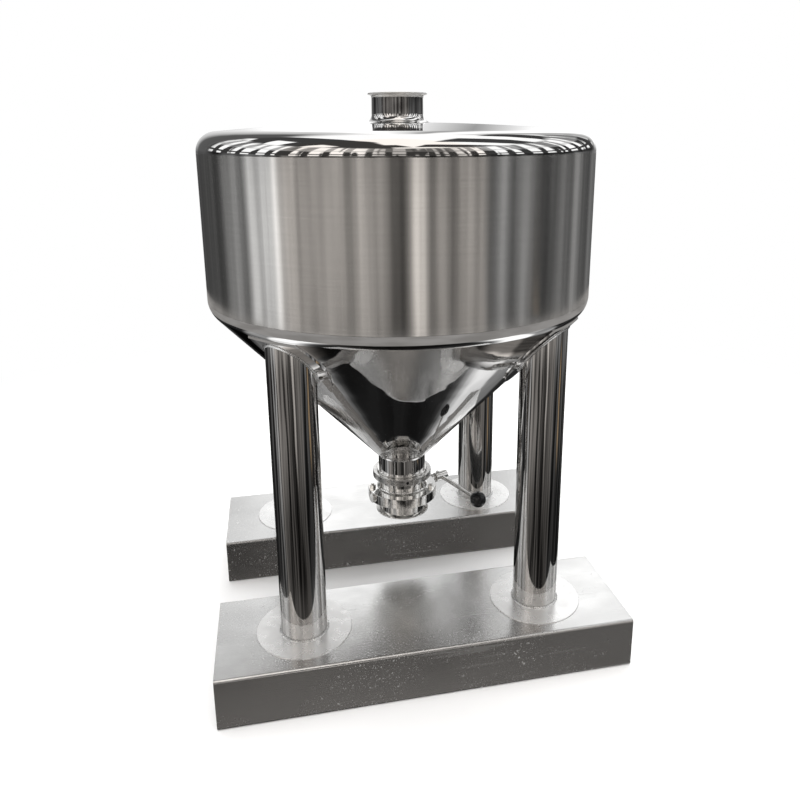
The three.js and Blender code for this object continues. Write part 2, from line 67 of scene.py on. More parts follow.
STAND = "tank_and_stand"
HANDLE = "handle"
ROUND = 160  # steps round the large turned pieces
PIPE_ROUND = 128  # steps round the pipework, the valve and the feet
LEG_ROUND = 96  # steps round the legs and the knob
SMALL_ROUND = 64  # steps round pins, bolts and bushes
GAP = 0.0003  # left between pieces that rest on each other
RUNNING_FIT = 0.0003  # left round the bolts, the stem and the handle's rod
RIM_EDGE = 0.0005  # chamfer on the turned rims
MERGED = 0.00002  # slivers and doubled points smaller than this are closed up
STEM_RADIUS = 0.006
FERRULE_SLOPE = math.tan(math.radians(20))  # of the sloping backs that the clamp pulls together


# ------------------------------------------------------------------ places given by the frame

def middle(node):
    low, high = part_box(node)
    return (Vector(low) + Vector(high)) / 2


def low(node):
    return Vector(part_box(node)[0])


def high(node):
    return Vector(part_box(node)[1])


LEG_SIDES = ("front_left", "front_right", "rear_left", "rear_right")
TANK_RADIUS = high("tank_shell").x
SHELL_BOTTOM = low("tank_shell").z
SHELL_TOP = high("tank_shell").z
INLET_TOP = high("inlet_ferrule").z
BEAM_TOP = high("front_beam").z
CLAMP_CENTRE = middle("clamp_hinge_pin").z
VALVE_CENTRE = middle("handle_rod").z
VALVE_BOTTOM = low("valve_body_lower").z
STEM_TURN = math.atan2(frame["joints"][0]["axis"][1], frame["joints"][0]["axis"][0])
HINGE_TURN = math.atan2(middle("clamp_hinge_pin").y, middle("clamp_hinge_pin").x)


# ------------------------------------------------------------------ sizes and colours that a user may change

def size(name, description, default):
    return bpy.props.FloatProperty(
        name=name, description=description, default=default, min=0.0, precision=4, unit="LENGTH"
    )


def angle(name, description, degrees):
    return bpy.props.FloatProperty(
        name=name, description=description, default=math.radians(degrees), subtype="ANGLE"
    )


def amount(name, description, default):
    return bpy.props.FloatProperty(
        name=name, description=description, default=default, min=0.0, max=1.0, subtype="FACTOR"
    )


def colour(name, description, default):
    return bpy.props.FloatVectorProperty(
        name=name, description=description, default=default, size=3, min=0.0, max=1.0, subtype="COLOR"
    )


class TankSizes(bpy.types.PropertyGroup):
    sheet: size("Sheet", "Wall of the shell, heads and beams", 0.004)
    knuckle: size("Knuckle radius", "Bend between the shell and both heads", 0.05)
    dish: size("Dish radius", "Crown of the top head", 5.0)
    cone_angle: angle("Cone angle", "Slope of the bottom cone, from the vertical", 43)
    pipe: size("Pipe radius", "Outside of the inlet and outlet tubes", 0.0665)
    pipe_wall: size("Pipe wall", "Wall of the inlet and outlet tubes", 0.003)
    flare: size("Collar radius", "Pulled collar between the top head and the inlet", 0.022)
    ferrule: size("Ferrule radius", "Rim of the clamp ferrules", 0.075)
    ferrule_rim: size("Ferrule rim", "Thickness of the ferrules at the edge", 0.00285)
    clamp: size("Clamp radius", "Outside of the clamp ring", 0.0833)
    clamp_height: size("Clamp height", "Height of the clamp ring", 0.0175)
    valve: size("Valve radius", "Outside of the valve flanges", 0.098)
    valve_half: size("Valve half", "Height of each valve flange", 0.014)
    valve_bore: size("Valve bore", "Radius of the way through the valve", 0.0625)
    bolt_circle: size("Bolt circle", "Radius on which the valve bolts stand", 0.086)
    bolt: size("Bolt radius", "Shank of the valve bolts", 0.005)
    hub: size("Hub radius", "Handle hub", 0.014)
    rod: size("Rod radius", "Handle rod", 0.006)
    knob: size("Knob radius", "Ball on the end of the handle", 0.0225)
    leg: size("Leg radius", "Outside of the leg tubes", 0.057)
    leg_wall: size("Leg wall", "Wall of the leg tubes", 0.003)
    saddle: size("Saddle radius", "Plate between leg and cone, seen from above", 0.092)
    saddle_sheet: size("Saddle sheet", "Thickness of the saddle plates", 0.004)
    foot: size("Foot radius", "Disc under each leg", 0.118)
    foot_sheet: size("Foot sheet", "Thickness of the foot discs", 0.002)
    beam_corner: size("Beam corner", "Outer bend of the folded beams", 0.007)
    weld: size("Weld", "Half-width of the weld beads", 0.0045)


class TankFinish(bpy.types.PropertyGroup):
    brushed: colour("Brushed shell", "Colour of the satin band", (0.70, 0.69, 0.675))
    mirror: colour("Mirror steel", "Colour of the polished heads", (0.76, 0.755, 0.75))
    tube: colour("Leg tube", "Colour of the polished tubes", (0.64, 0.63, 0.62))
    sheet: colour("Beam sheet", "Colour of the beams and feet", (0.80, 0.80, 0.795))
    valve: colour("Valve steel", "Colour of the valve, clamp and handle", (0.84, 0.835, 0.82))
    seal: colour("Seal", "Colour of the soft rings", (0.72, 0.70, 0.66))
    knob: colour("Knob", "Colour of the ball", (0.006, 0.006, 0.007))
    grain: amount("Grain", "Strength of the brushing lines", 0.5)
    backdrop: colour("Backdrop", "Colour behind and under the tank", (1.0, 1.0, 1.0))


def sizes():
    return bpy.context.scene.tank_sizes


def finishes():
    return bpy.context.scene.tank_finish


# ------------------------------------------------------------------ shader expressions

class Value:
    """A socket that can be used in Python expressions, each of which adds its Math node."""

    def __init__(self, tree, socket):
        self.tree, self.socket = tree, socket

    def __add__(self, other):
        return self.tree.maths("ADD", self, other)

    def __sub__(self, other):
        return self.tree.maths("SUBTRACT", self, other)

    def __mul__(self, other):
        return self.tree.maths("MULTIPLY", self, other)

    def __truediv__(self, other):
        return self.tree.maths("DIVIDE", self, other)

    def __gt__(self, other):
        return self.tree.maths("GREATER_THAN", self, other)

    __radd__ = __add__
    __rmul__ = __mul__

    def __rsub__(self, other):
        return self.tree.maths("SUBTRACT", other, self)

    def __rtruediv__(self, other):
        return self.tree.maths("DIVIDE", other, self)

    def size(self):
        return self.tree.maths("ABSOLUTE", self)

    def sine(self):
        return self.tree.maths("SINE", self)

    def at_least(self, other):
        return self.tree.maths("MAXIMUM", self, other)

    def ramp(self, start, end, low=0.0, high=1.0):
        """Rises smoothly from low at start to high at end."""
        inputs = {"Value": self, "From Min": start, "From Max": end, "To Min": low, "To Max": high}
        return self.tree.add("ShaderNodeMapRange", {"interpolation_type": "SMOOTHSTEP"}, inputs)


class Tree:
    """A material's or world's nodes."""

    def __init__(self, holder):
        holder.use_nodes = True
        self.nodes = holder.node_tree.nodes
        self.links = holder.node_tree.links
        self.nodes.clear()

    def add(self, kind, settings=None, inputs=None, output=0):
        """Adds a node: its settings first, then the values or links of its sockets."""
        node = self.nodes.new(kind)
        for name, value in (settings or {}).items():
            if name == "stops":
                self.set_stops(node.color_ramp, value)
            else:
                setattr(node, name, value)
        for name, value in (inputs or {}).items():
            socket = node.inputs[name]
            if isinstance(value, Value):
                self.links.new(value.socket, socket)
            else:
                socket.default_value = (*value, 1) if socket.type == "RGBA" else value
        return Value(self, node.outputs[output] if node.outputs else None)

    def maths(self, operation, *terms):
        return self.add("ShaderNodeMath", {"operation": operation}, dict(enumerate(terms)))

    @staticmethod
    def set_stops(ramp, stops):
        """Stops are (place, brightness)."""
        while len(ramp.elements) > 1:
            ramp.elements.remove(ramp.elements[-1])
        for index, (place, level) in enumerate(stops):
            stop = ramp.elements[0] if index == 0 else ramp.elements.new(place)
            stop.position = place
            stop.color = (level, level, level, 1)

    def place(self, scale, turn, shift):
        """Object coordinates in metres, moved, turned and scaled."""
        here = self.add("ShaderNodeTexCoord", output="Object")
        inputs = {"Vector": here, "Location": shift, "Rotation": turn, "Scale": scale}
        return self.add("ShaderNodeMapping", None, inputs)

    def noise(self, where, scale, detail, roughness):
        inputs = {"Vector": where, "Scale": scale, "Detail": detail, "Roughness": roughness}
        return self.add("ShaderNodeTexNoise", None, inputs)

    def grain(self, scale, detail, roughness, turn=(0, 0, 0), shift=(0, 0, 0)):
        """Noise over a piece, with its scale along X, Y and Z."""
        return self.noise(self.place(scale, turn, shift), 1.0, detail, roughness)

    def blend(self, factor, first, second, kind="MIX"):
        """A colour between two colours, or what another kind of mix makes of them."""
        settings = {"data_type": "RGBA", "blend_type": kind}
        return self.add("ShaderNodeMix", settings, {0: factor, 6: first, 7: second}, 2)

    def bump(self, height, distance, strength=1.0, normal=None):
        inputs = {"Height": height, "Distance": distance, "Strength": strength}
        if normal:
            inputs["Normal"] = normal
        return self.add("ShaderNodeBump", None, inputs)

    def surface(self, **inputs):
        """The finished shader, with its sockets named as in Principled but with _ for spaces."""
        named = {name.replace("_", " "): value for name, value in inputs.items()}
        shader = self.add("ShaderNodeBsdfPrincipled", None, named)
        self.add("ShaderNodeOutputMaterial", None, {"Surface": shader})


def toned(base, factor):
    """A colour made darker, or paler up to white."""
    return tuple(min(1.0, channel * factor) for channel in base)


def brushed_shell(tree, finish):
    fine = tree.grain((5, 5, 2200), 2, 0.6)
    broad = tree.grain((3, 3, 420), 2, 0.5)
    patches = tree.grain((4, 4, 7), 2, 0.5)
    scuffs = tree.grain((9, 9, 900), 1, 0.4, shift=(3, 1, 2)).ramp(0.68, 0.8)
    # Long vertical streaks of light and dark in the base colour are painted reflection of the room, stretched
    # along the band's brushing.
    painted_reflection_streaks = tree.grain((26, 26, 0.7), 3, 0.6)
    lines = fine * 0.7 + broad * 0.3
    pale = toned(finish.brushed, 1.22)
    dark = toned(finish.brushed, 0.84)
    shade = lines.ramp(0.3, 0.7) * 0.3 + painted_reflection_streaks.ramp(0.35, 0.65) * 0.5 + scuffs * 0.2
    base = tree.blend(shade, dark, pale)
    rough = patches.ramp(0.3, 0.7, 0.115, 0.13) + (lines - 0.5) * 0.06 * finish.grain
    wave = tree.grain((5, 5, 1.2), 1, 0.4)
    normal = tree.bump(lines, 0.00001 * finish.grain, 1.0, tree.bump(wave, 0.0008))
    tree.surface(
        Base_Color=base, Metallic=1.0, Roughness=rough, Anisotropic=1.0, Anisotropic_Rotation=0.25,
        Normal=normal,
    )


def mirror_steel(tree, finish):
    wave = tree.grain((6, 6, 6), 2, 0.5)
    dents = tree.grain((18, 18, 18), 1, 0.4)
    haze = tree.grain((9, 9, 9), 4, 0.6, shift=(2, 5, 1))
    polish = tree.grain((40, 40, 900), 2, 0.5)
    normal = tree.bump(dents, 0.0001, 1.0, tree.bump(wave, 0.0018))
    rough = haze.ramp(0.35, 0.75, 0.02, 0.06) + polish * 0.01
    base = tree.blend(haze.ramp(0.3, 0.8) * 0.5, finish.mirror, toned(finish.mirror, 0.9))
    tree.surface(Base_Color=base, Metallic=1.0, Roughness=rough, Normal=normal)


def tube_steel(tree, finish):
    wave = tree.grain((30, 30, 5), 1, 0.4)
    drift = tree.grain((7, 7, 1.4), 1, 0.4, shift=(5, 2, 8))
    # Vertical streaks of light and dark in the base colour are painted reflection on the polished legs.
    painted_reflection_streaks = tree.grain((50, 50, 3), 1, 0.5)
    polish = tree.grain((60, 60, 1200), 2, 0.5)
    haze = tree.grain((12, 12, 5), 4, 0.6, shift=(1, 7, 3))
    normal = tree.bump(wave, 0.0009, 1.0, tree.bump(drift, 0.003))
    rough = haze.ramp(0.35, 0.75, 0.03, 0.08) + polish * 0.02
    shade = haze.ramp(0.3, 0.8) * 0.4 + painted_reflection_streaks.ramp(0.35, 0.7) * 0.4
    base = tree.blend(shade, finish.tube, toned(finish.tube, 0.75))
    tree.surface(Base_Color=base, Metallic=1.0, Roughness=rough, Normal=normal)


def sheet_marks(tree):
    """Masks on the beams' sheet: its fine grain, its smudges, and its specks and scratches."""
    grain = tree.grain((9, 700, 700), 3, 0.6)
    smudge = tree.grain((5, 8, 8), 3, 0.55, shift=(4, 1, 0))
    specks = tree.grain((330, 330, 330), 1, 0.4).ramp(0.66, 0.72)
    drops = tree.grain((120, 120, 120), 1, 0.4, shift=(2, 2, 2)).ramp(0.7, 0.74)
    gathered = tree.grain((5, 8, 8), 2, 0.5, shift=(9, 3, 1)).ramp(0.42, 0.75)
    scratch = tree.grain((2.2, 160, 60), 1, 0.3, turn=(0, 0, math.radians(28)))
    marks = (specks * 0.8 + drops) * gathered + scratch.ramp(0.72, 0.76) * 0.12
    return grain, smudge, marks


def beam_sheet(tree, finish):
    grain, smudge, marks = sheet_marks(tree)
    dull = toned(finish.sheet, 0.85)
    base = tree.blend(smudge.ramp(0.35, 0.7) * 0.6 + grain * 0.2, finish.sheet, dull)
    base = tree.blend(marks, base, (0.95, 0.95, 0.95))
    rough = smudge.ramp(0.3, 0.7, 0.19, 0.25) + grain * 0.03 + marks * 0.35
    wave = tree.grain((4, 4, 4), 1, 0.4)
    normal = tree.bump(grain, 0.0001, 1.0, tree.bump(marks, 0.0001, 1.0, tree.bump(wave, 0.0015)))
    tree.surface(Base_Color=base, Metallic=1 - marks * 0.3, Roughness=rough, Normal=normal)


def foot_sheet(tree, finish):
    mottle = tree.grain((30, 30, 30), 2, 0.5)
    smudge = tree.grain((14, 14, 14), 2, 0.5)
    pale = toned(finish.sheet, 1.2)
    base = tree.blend(smudge.ramp(0.3, 0.75) * 0.5, pale, finish.sheet)
    rough = mottle.ramp(0.3, 0.7, 0.24, 0.34)
    tree.surface(Base_Color=base, Metallic=0.8, Roughness=rough, Normal=tree.bump(mottle, 0.00003))


def weld_steel(tree, finish):
    ripple = tree.grain((260, 260, 260), 3, 0.6)
    heat = tree.grain((60, 60, 60), 2, 0.5)
    pale = toned(finish.sheet, 1.2)
    base = tree.blend(heat.ramp(0.45, 0.75) * 0.7, pale, toned(finish.sheet, 0.8))
    normal = tree.bump(ripple, 0.0006)
    tree.surface(Base_Color=base, Metallic=1.0, Roughness=ripple.ramp(0.3, 0.7, 0.22, 0.4), Normal=normal)


def valve_steel(tree, finish):
    turning = tree.grain((30, 30, 2600), 2, 0.5)
    haze = tree.grain((45, 45, 45), 3, 0.6)
    base = tree.blend(haze.ramp(0.3, 0.8) * 0.6, finish.valve, toned(finish.valve, 0.85))
    rough = haze.ramp(0.35, 0.75, 0.06, 0.11) + turning * 0.02
    normal = tree.bump(haze, 0.00002)
    tree.surface(Base_Color=base, Metallic=1.0, Roughness=rough, Normal=normal)


def clamp_steel(tree, finish):
    skin = tree.grain((500, 500, 500), 3, 0.6)
    haze = tree.grain((60, 60, 60), 3, 0.6)
    base = tree.blend(haze.ramp(0.3, 0.8) * 0.6, toned(finish.valve, 0.85), toned(finish.valve, 0.68))
    rough = haze.ramp(0.35, 0.75, 0.22, 0.32)
    tree.surface(Base_Color=base, Metallic=1.0, Roughness=rough, Normal=tree.bump(skin, 0.00002))


def machined_rim(tree, finish):
    turning = tree.grain((20, 20, 1500), 2, 0.5)
    haze = tree.grain((60, 60, 60), 3, 0.6)
    pale = toned(finish.valve, 1.15)
    base = tree.blend(haze.ramp(0.3, 0.8) * 0.5, pale, finish.valve)
    rough = haze.ramp(0.35, 0.75, 0.42, 0.52) + turning * 0.05
    tree.surface(Base_Color=base, Metallic=1.0, Roughness=rough, Normal=tree.bump(turning, 0.00001))


def seal_ring(tree, finish):
    mottle = tree.grain((300, 300, 300), 3, 0.6)
    base = tree.blend(mottle, finish.seal, toned(finish.seal, 0.9))
    tree.surface(
        Base_Color=base, Metallic=0.0, Roughness=mottle.ramp(0.3, 0.7, 0.5, 0.65),
        Normal=tree.bump(mottle, 0.00005),
    )


def black_knob(tree, finish):
    haze = tree.grain((90, 90, 90), 3, 0.6)
    scuffs = tree.grain((700, 160, 160), 2, 0.5).ramp(0.64, 0.72)
    base = tree.blend(scuffs * 0.3, finish.knob, (0.05, 0.05, 0.05))
    tree.surface(
        Base_Color=base, Metallic=0.0, Roughness=haze.ramp(0.3, 0.7, 0.1, 0.2) + scuffs * 0.2,
        Normal=tree.bump(haze, 0.00004),
    )


def pale_floor(tree, finish):
    """Pale under the tank, and the backdrop's own colour far from it."""
    here = tree.add("ShaderNodeTexCoord", output="Object")
    far = tree.add("ShaderNodeVectorMath", {"operation": "LENGTH"}, {0: here}, "Value")
    pale = tree.add("ShaderNodeBsdfDiffuse", None, {"Color": (0.88, 0.88, 0.88)})
    glow = tree.add("ShaderNodeEmission", None, {"Color": finish.backdrop})
    mixed = tree.add("ShaderNodeMixShader", None, {0: far.ramp(1.2, 3.0), 1: pale, 2: glow})
    tree.add("ShaderNodeOutputMaterial", None, {"Surface": mixed})


def grey_card(tree, finish):
    mottle = tree.grain((6, 6, 6), 3, 0.5)
    shade = tree.blend(mottle.ramp(0.35, 0.65), (0.27, 0.26, 0.25), (0.36, 0.35, 0.34))
    glow = tree.add("ShaderNodeEmission", None, {"Color": shade})
    tree.add("ShaderNodeOutputMaterial", None, {"Surface": glow})


FINISHES = (
    brushed_shell, mirror_steel, tube_steel, beam_sheet, foot_sheet, weld_steel, valve_steel, clamp_steel,
    machined_rim, seal_ring, black_knob, pale_floor, grey_card,
)
MATERIALS = {}


def painted(name):
    """The finished material of that name, made on first use."""
    if name not in MATERIALS:
        fill = {finish.__name__: finish for finish in FINISHES}[name]
        MATERIALS[name] = bpy.data.materials.new(name)
        fill(Tree(MATERIALS[name]), finishes())
    return MATERIALS[name]


# ------------------------------------------------------------------ modelling helpers

def only(piece):
    bpy.ops.object.select_all(action="DESELECT")
    piece.select_set(True)
    bpy.context.view_layer.objects.active = piece


@contextmanager
def editing(piece):
    """Edit mode on one piece, with everything in it selected."""
    only(piece)
    bpy.ops.object.mode_set(mode="EDIT")
    bpy.ops.mesh.select_mode(type="VERT")
    bpy.ops.mesh.select_all(action="SELECT")
    yield
    bpy.ops.object.mode_set(mode="OBJECT")


@contextmanager
def editing_some(piece, kind, wanted):
    """Edit mode on one piece, with only the edges or faces selected for which wanted is true."""
    with editing(piece):
        bpy.ops.mesh.select_mode(type=kind)
        bpy.ops.mesh.select_all(action="DESELECT")
        bpy.ops.object.mode_set(mode="OBJECT")
        for part in piece.data.edges if kind == "EDGE" else piece.data.polygons:
            part.select = wanted(part)
        bpy.ops.object.mode_set(mode="EDIT")
        yield


def primitive(kind, name, **settings):
    """A new primitive, which alone is selected."""
    bpy.ops.object.select_all(action="DESELECT")
    add = getattr(bpy.ops.mesh, f"primitive_{kind}_add")
    add(**settings)
    bpy.context.object.name = name
    return bpy.context.object


def runs_along_x(piece, shortest):
    """Test for edges that run along X."""
    def test(edge):
        first, second = (piece.data.vertices[index].co for index in edge.vertices)
        return abs(first.x - second.x) > shortest
    return test


def settle(piece, *turns, at=(0, 0, 0)):
    """Turns a piece and moves it, and puts its place into its mesh."""
    matrix = Matrix.Translation(at)
    for turn in turns:
        matrix = matrix @ turn
    piece.matrix_world = matrix @ piece.matrix_world
    only(piece)
    bpy.ops.object.transform_apply(location=True, rotation=True, scale=True)
    return piece


def turn_about(axis, radians):
    return Matrix.Rotation(radians, 4, axis)


def along_x(piece):
    return settle(piece, turn_about("Y", math.pi / 2))


def towards_front(piece):
    return settle(piece, turn_about("X", math.pi / 2))


def arc(radius_out, height, radius, start, end, steps):
    """Points (radius, height) along an arc, both ends included, with its angles in degrees."""
    points = []
    for step in range(steps + 1):
        turn = math.radians(start + (end - start) * step / steps)
        points.append((radius_out + radius * math.cos(turn), height + radius * math.sin(turn)))
    return points


def turned(name, outline, steps=ROUND, ring=True):
    """Turns an outline of (radius, height) round Z: a closed ring, or a solid that ends on the axis."""
    piece = primitive("plane", name, size=0.01)
    corners = [*outline, outline[0]] if ring else outline
    with editing(piece):
        bpy.ops.mesh.merge(type="CENTER")
        bpy.ops.transform.translate(value=(corners[0][0], 0, corners[0][1]))
        for (radius, height), (next_radius, next_height) in zip(corners, corners[1:]):
            step = (next_radius - radius, 0, next_height - height)
            bpy.ops.mesh.extrude_vertices_move(TRANSFORM_OT_translate={"value": step})
        bpy.ops.mesh.select_all(action="SELECT")
        bpy.ops.mesh.spin(steps=steps, angle=math.tau, center=(0, 0, 0), axis=(0, 0, 1))
        bpy.ops.mesh.select_all(action="SELECT")
        bpy.ops.mesh.remove_doubles(threshold=0.000005)
        bpy.ops.mesh.normals_make_consistent(inside=False)
    return piece


def barrel(name, radius, bottom, top, chamfer=0.0005, steps=SMALL_ROUND):
    """A turned pin with its ends chamfered."""
    outline = [
        (0, bottom), (radius - chamfer, bottom), (radius, bottom + chamfer),
        (radius, top - chamfer), (radius - chamfer, top), (0, top),
    ]
    return turned(name, outline, steps, ring=False)


def block(name, lowest, highest):
    """A box between two corners, to be shaped further."""
    lowest, highest = Vector(lowest), Vector(highest)
    span = highest - lowest
    return settle(primitive("cube", name, size=1, location=(lowest + highest) / 2, scale=span))


def cylinder(name, radius, bottom, top, steps=SMALL_ROUND, at=(0, 0)):
    """A plain round tool for cutting with."""
    place = (*at, (bottom + top) / 2)
    return settle(
        primitive("cylinder", name, vertices=steps, radius=radius, depth=top - bottom, location=place)
    )


def modified(piece, kind, **settings):
    only(piece)
    modifier = piece.modifiers.new(kind.title(), kind)
    for name, value in settings.items():
        setattr(modifier, name, value)
    bpy.ops.object.modifier_apply(modifier=modifier.name)
    return piece


def combined(piece, other, operation):
    """Cuts, joins or crosses one piece with another, which is then removed."""
    modified(piece, "BOOLEAN", object=other, operation=operation, solver="EXACT")
    bpy.data.objects.remove(other, do_unlink=True)
    return piece


def cut(piece, *tools):
    for tool in tools:
        combined(piece, tool, "DIFFERENCE")
    return piece


def rounded(piece, width, segments=2, sharper_than=35):
    """Rounds the edges that are sharper than an angle in degrees."""
    return modified(
        piece, "BEVEL", width=width, segments=segments, limit_method="ANGLE",
        angle_limit=math.radians(sharper_than), use_clamp_overlap=True,
    )


def copied(piece, name):
    """A copy with its own mesh."""
    twin = piece.copy()
    twin.data = piece.data.copy()
    twin.name = name
    bpy.context.collection.objects.link(twin)
    return twin


def delivered(piece, finish, nodes=(), body=STAND, smooth=30):
    """Smooths and paints a finished piece, and ties it to the frame."""
    only(piece)
    bpy.ops.object.shade_smooth_by_angle(angle=math.radians(smooth))
    modified(piece, "WEIGHTED_NORMAL", keep_sharp=True)
    piece.data.materials.clear()
    piece.data.materials.append(painted(finish))
    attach(piece, body)
    if nodes:
        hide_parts(*nodes)
    return piece


# ------------------------------------------------------------------ tank

def crown_centre(given):
    """Height of the middle of the dish's sphere, which runs tangent into the knuckle."""
    reach = given.dish - given.knuckle
    return SHELL_TOP - math.sqrt(reach**2 - (TANK_RADIUS - given.knuckle) ** 2)


def crown_height(given, radius, inset=0.0):
    return crown_centre(given) + math.sqrt((given.dish - inset) ** 2 - radius**2)


def cone_top(given):
    """Radius and height at which the knuckle ends and the straight cone begins."""
    knuckle_centre = TANK_RADIUS - given.knuckle
    return (
        knuckle_centre + given.knuckle * math.cos(given.cone_angle),
        SHELL_BOTTOM - given.knuckle * math.sin(given.cone_angle),
    )


def cone_height(given, radius, offset=0.0):
    """Height of the cone's face at a radius, moved out by an offset."""
    top_radius, top_height = cone_top(given)
    edge_radius = top_radius + offset * math.cos(given.cone_angle)
    edge_height = top_height - offset * math.sin(given.cone_angle)
    return edge_height - (edge_radius - radius) / math.tan(given.cone_angle)


def cone_tool(given, name, offset):
    """Solid that fills the bottom of the tank out to an offset from its face."""
    slope = math.degrees(given.cone_angle)
    knuckle = arc(TANK_RADIUS - given.knuckle, SHELL_BOTTOM, given.knuckle + offset, -slope, 0, 10)
    outline = [
        (0, cone_height(given, 0, offset)), *knuckle, (TANK_RADIUS + offset, SHELL_TOP), (0, SHELL_TOP),
    ]
    return turned(name, outline, ring=False)


def ferrule_back(given):
    """Depth of a ferrule's rim where its sloping back meets the tube."""
    return given.ferrule_rim + (given.ferrule - given.pipe) * FERRULE_SLOPE


class TANK_OT_shell(bpy.types.Operator):
    """Rolls the brushed shell"""

    bl_idname = "tank.shell"
    bl_label = "Shell"
    bl_options = {"REGISTER", "UNDO"}

    def execute(self, context):
        given = sizes()
        edge = 0.0006
        inner = TANK_RADIUS - given.sheet
        outline = [
            (inner, SHELL_BOTTOM), (TANK_RADIUS - edge, SHELL_BOTTOM), (TANK_RADIUS, SHELL_BOTTOM + edge),
            (TANK_RADIUS, SHELL_TOP - edge), (TANK_RADIUS - edge, SHELL_TOP), (inner, SHELL_TOP),
        ]
        delivered(turned("brushed_shell", outline), "brushed_shell", ["tank_shell"])
        return {"FINISHED"}


class TANK_OT_heads(bpy.types.Operator):
    """Spins the dished head and the bottom cone"""

    bl_idname = "tank.heads"
    bl_label = "Heads"
    bl_options = {"REGISTER", "UNDO"}

    def execute(self, context):
        given = sizes()
        self.dish(given)
        self.cone(given)
        return {"FINISHED"}

    def dish(self, given):
        hole = given.pipe + given.flare
        centre = TANK_RADIUS - given.knuckle
        edge_angle = math.degrees(math.asin(centre / (given.dish - given.knuckle)))
        hole_angle = math.degrees(math.asin(hole / given.dish))

        def face(inset):
            knuckle = arc(centre, SHELL_TOP, given.knuckle - inset, 0, 90 - edge_angle, 20)
            crown = arc(0, crown_centre(given), given.dish - inset, 90 - edge_angle, 90 - hole_angle, 12)
            return [*knuckle, *crown[1:]]

        outline = [*face(0), *reversed(face(given.sheet))]
        delivered(turned("dished_head", outline), "mirror_steel", ["top_head"])

    def cone(self, given):
        slope = math.degrees(given.cone_angle)
        centre = TANK_RADIUS - given.knuckle
        bore = given.pipe - given.pipe_wall
        outer = arc(centre, SHELL_BOTTOM, given.knuckle, -slope, 0, 14)
        inner = arc(centre, SHELL_BOTTOM, given.knuckle - given.sheet, 0, -slope, 14)
        bottom = cone_height(given, given.pipe)
        outline = [
            (bore, bottom), (given.pipe, bottom), *outer, *inner,
            (bore, cone_height(given, bore, -given.sheet)),
        ]
        delivered(turned("bottom_cone_skin", outline), "mirror_steel", ["bottom_cone"], smooth=20)


class TANK_OT_pipework(bpy.types.Operator):
    """Turns the inlet and outlet tubes with their ferrules"""

    bl_idname = "tank.pipework"
    bl_label = "Inlet and outlet"
    bl_options = {"REGISTER", "UNDO"}

    def execute(self, context):
        given = sizes()
        bore = given.pipe - given.pipe_wall
        rim, edge = given.ferrule_rim, RIM_EDGE
        face = [
            (given.ferrule - edge, 0), (given.ferrule, edge), (given.ferrule, rim - edge),
            (given.ferrule - edge, rim + edge * FERRULE_SLOPE), (given.pipe, ferrule_back(given)),
        ]
        length = 0.011  # of the inlet's ferrule
        top = [(bore + edge, 0), *face, (given.pipe, length), (bore, length), (bore, edge)]
        outline = [(radius, INLET_TOP - depth) for radius, depth in top]
        delivered(turned("inlet_rim", outline, PIPE_ROUND), "machined_rim", ["inlet_ferrule"])

        hole = given.pipe + given.flare
        flare_height = crown_height(given, hole) + given.flare
        neck_top = INLET_TOP - length
        outer = arc(hole, flare_height, given.flare, -90, -180, 14)
        inner = arc(hole, flare_height, given.flare + given.pipe_wall, -180, -90, 14)
        outline = [*outer, (given.pipe, neck_top), (bore, neck_top), *inner]
        delivered(turned("inlet_tube", outline, PIPE_ROUND), "mirror_steel", ["inlet_neck"])

        collar, collar_start, collar_end, soft = 0.072, 0.0086, 0.014, 0.001
        bottom = low("outlet_ferrule").z
        lower = [
            (bore, 0), *face, (given.pipe, collar_start), (collar - edge, collar_start),
            (collar, collar_start + edge), (collar, collar_end - soft), (collar - soft, collar_end),
            (bore, collar_end),
        ]
        outline = [(radius, bottom + depth) for radius, depth in lower]
        delivered(turned("outlet_rim", outline, PIPE_ROUND), "valve_steel", ["outlet_ferrule"])

        spigot_bottom, spigot_top = bottom + collar_end, cone_height(given, given.pipe)
        outline = [
            (bore, spigot_bottom), (given.pipe, spigot_bottom), (given.pipe, spigot_top), (bore, spigot_top),
        ]
        delivered(turned("outlet_tube", outline, PIPE_ROUND), "mirror_steel", ["outlet_spigot"])
        return {"FINISHED"}


# ------------------------------------------------------------------ stand

def bead(name, radius, width, flatness, wobble, seed):
    """A weld bead lying round Z at height 0, a little uneven."""
    piece = primitive(
        "torus", name, major_radius=radius, minor_radius=width, major_segments=180, minor_segments=10
    )
    with editing(piece):
        bpy.ops.transform.resize(value=(1, 1, flatness))
        bpy.ops.transform.vertex_random(offset=wobble, uniform=0.3, normal=0.7, seed=seed)
    return piece


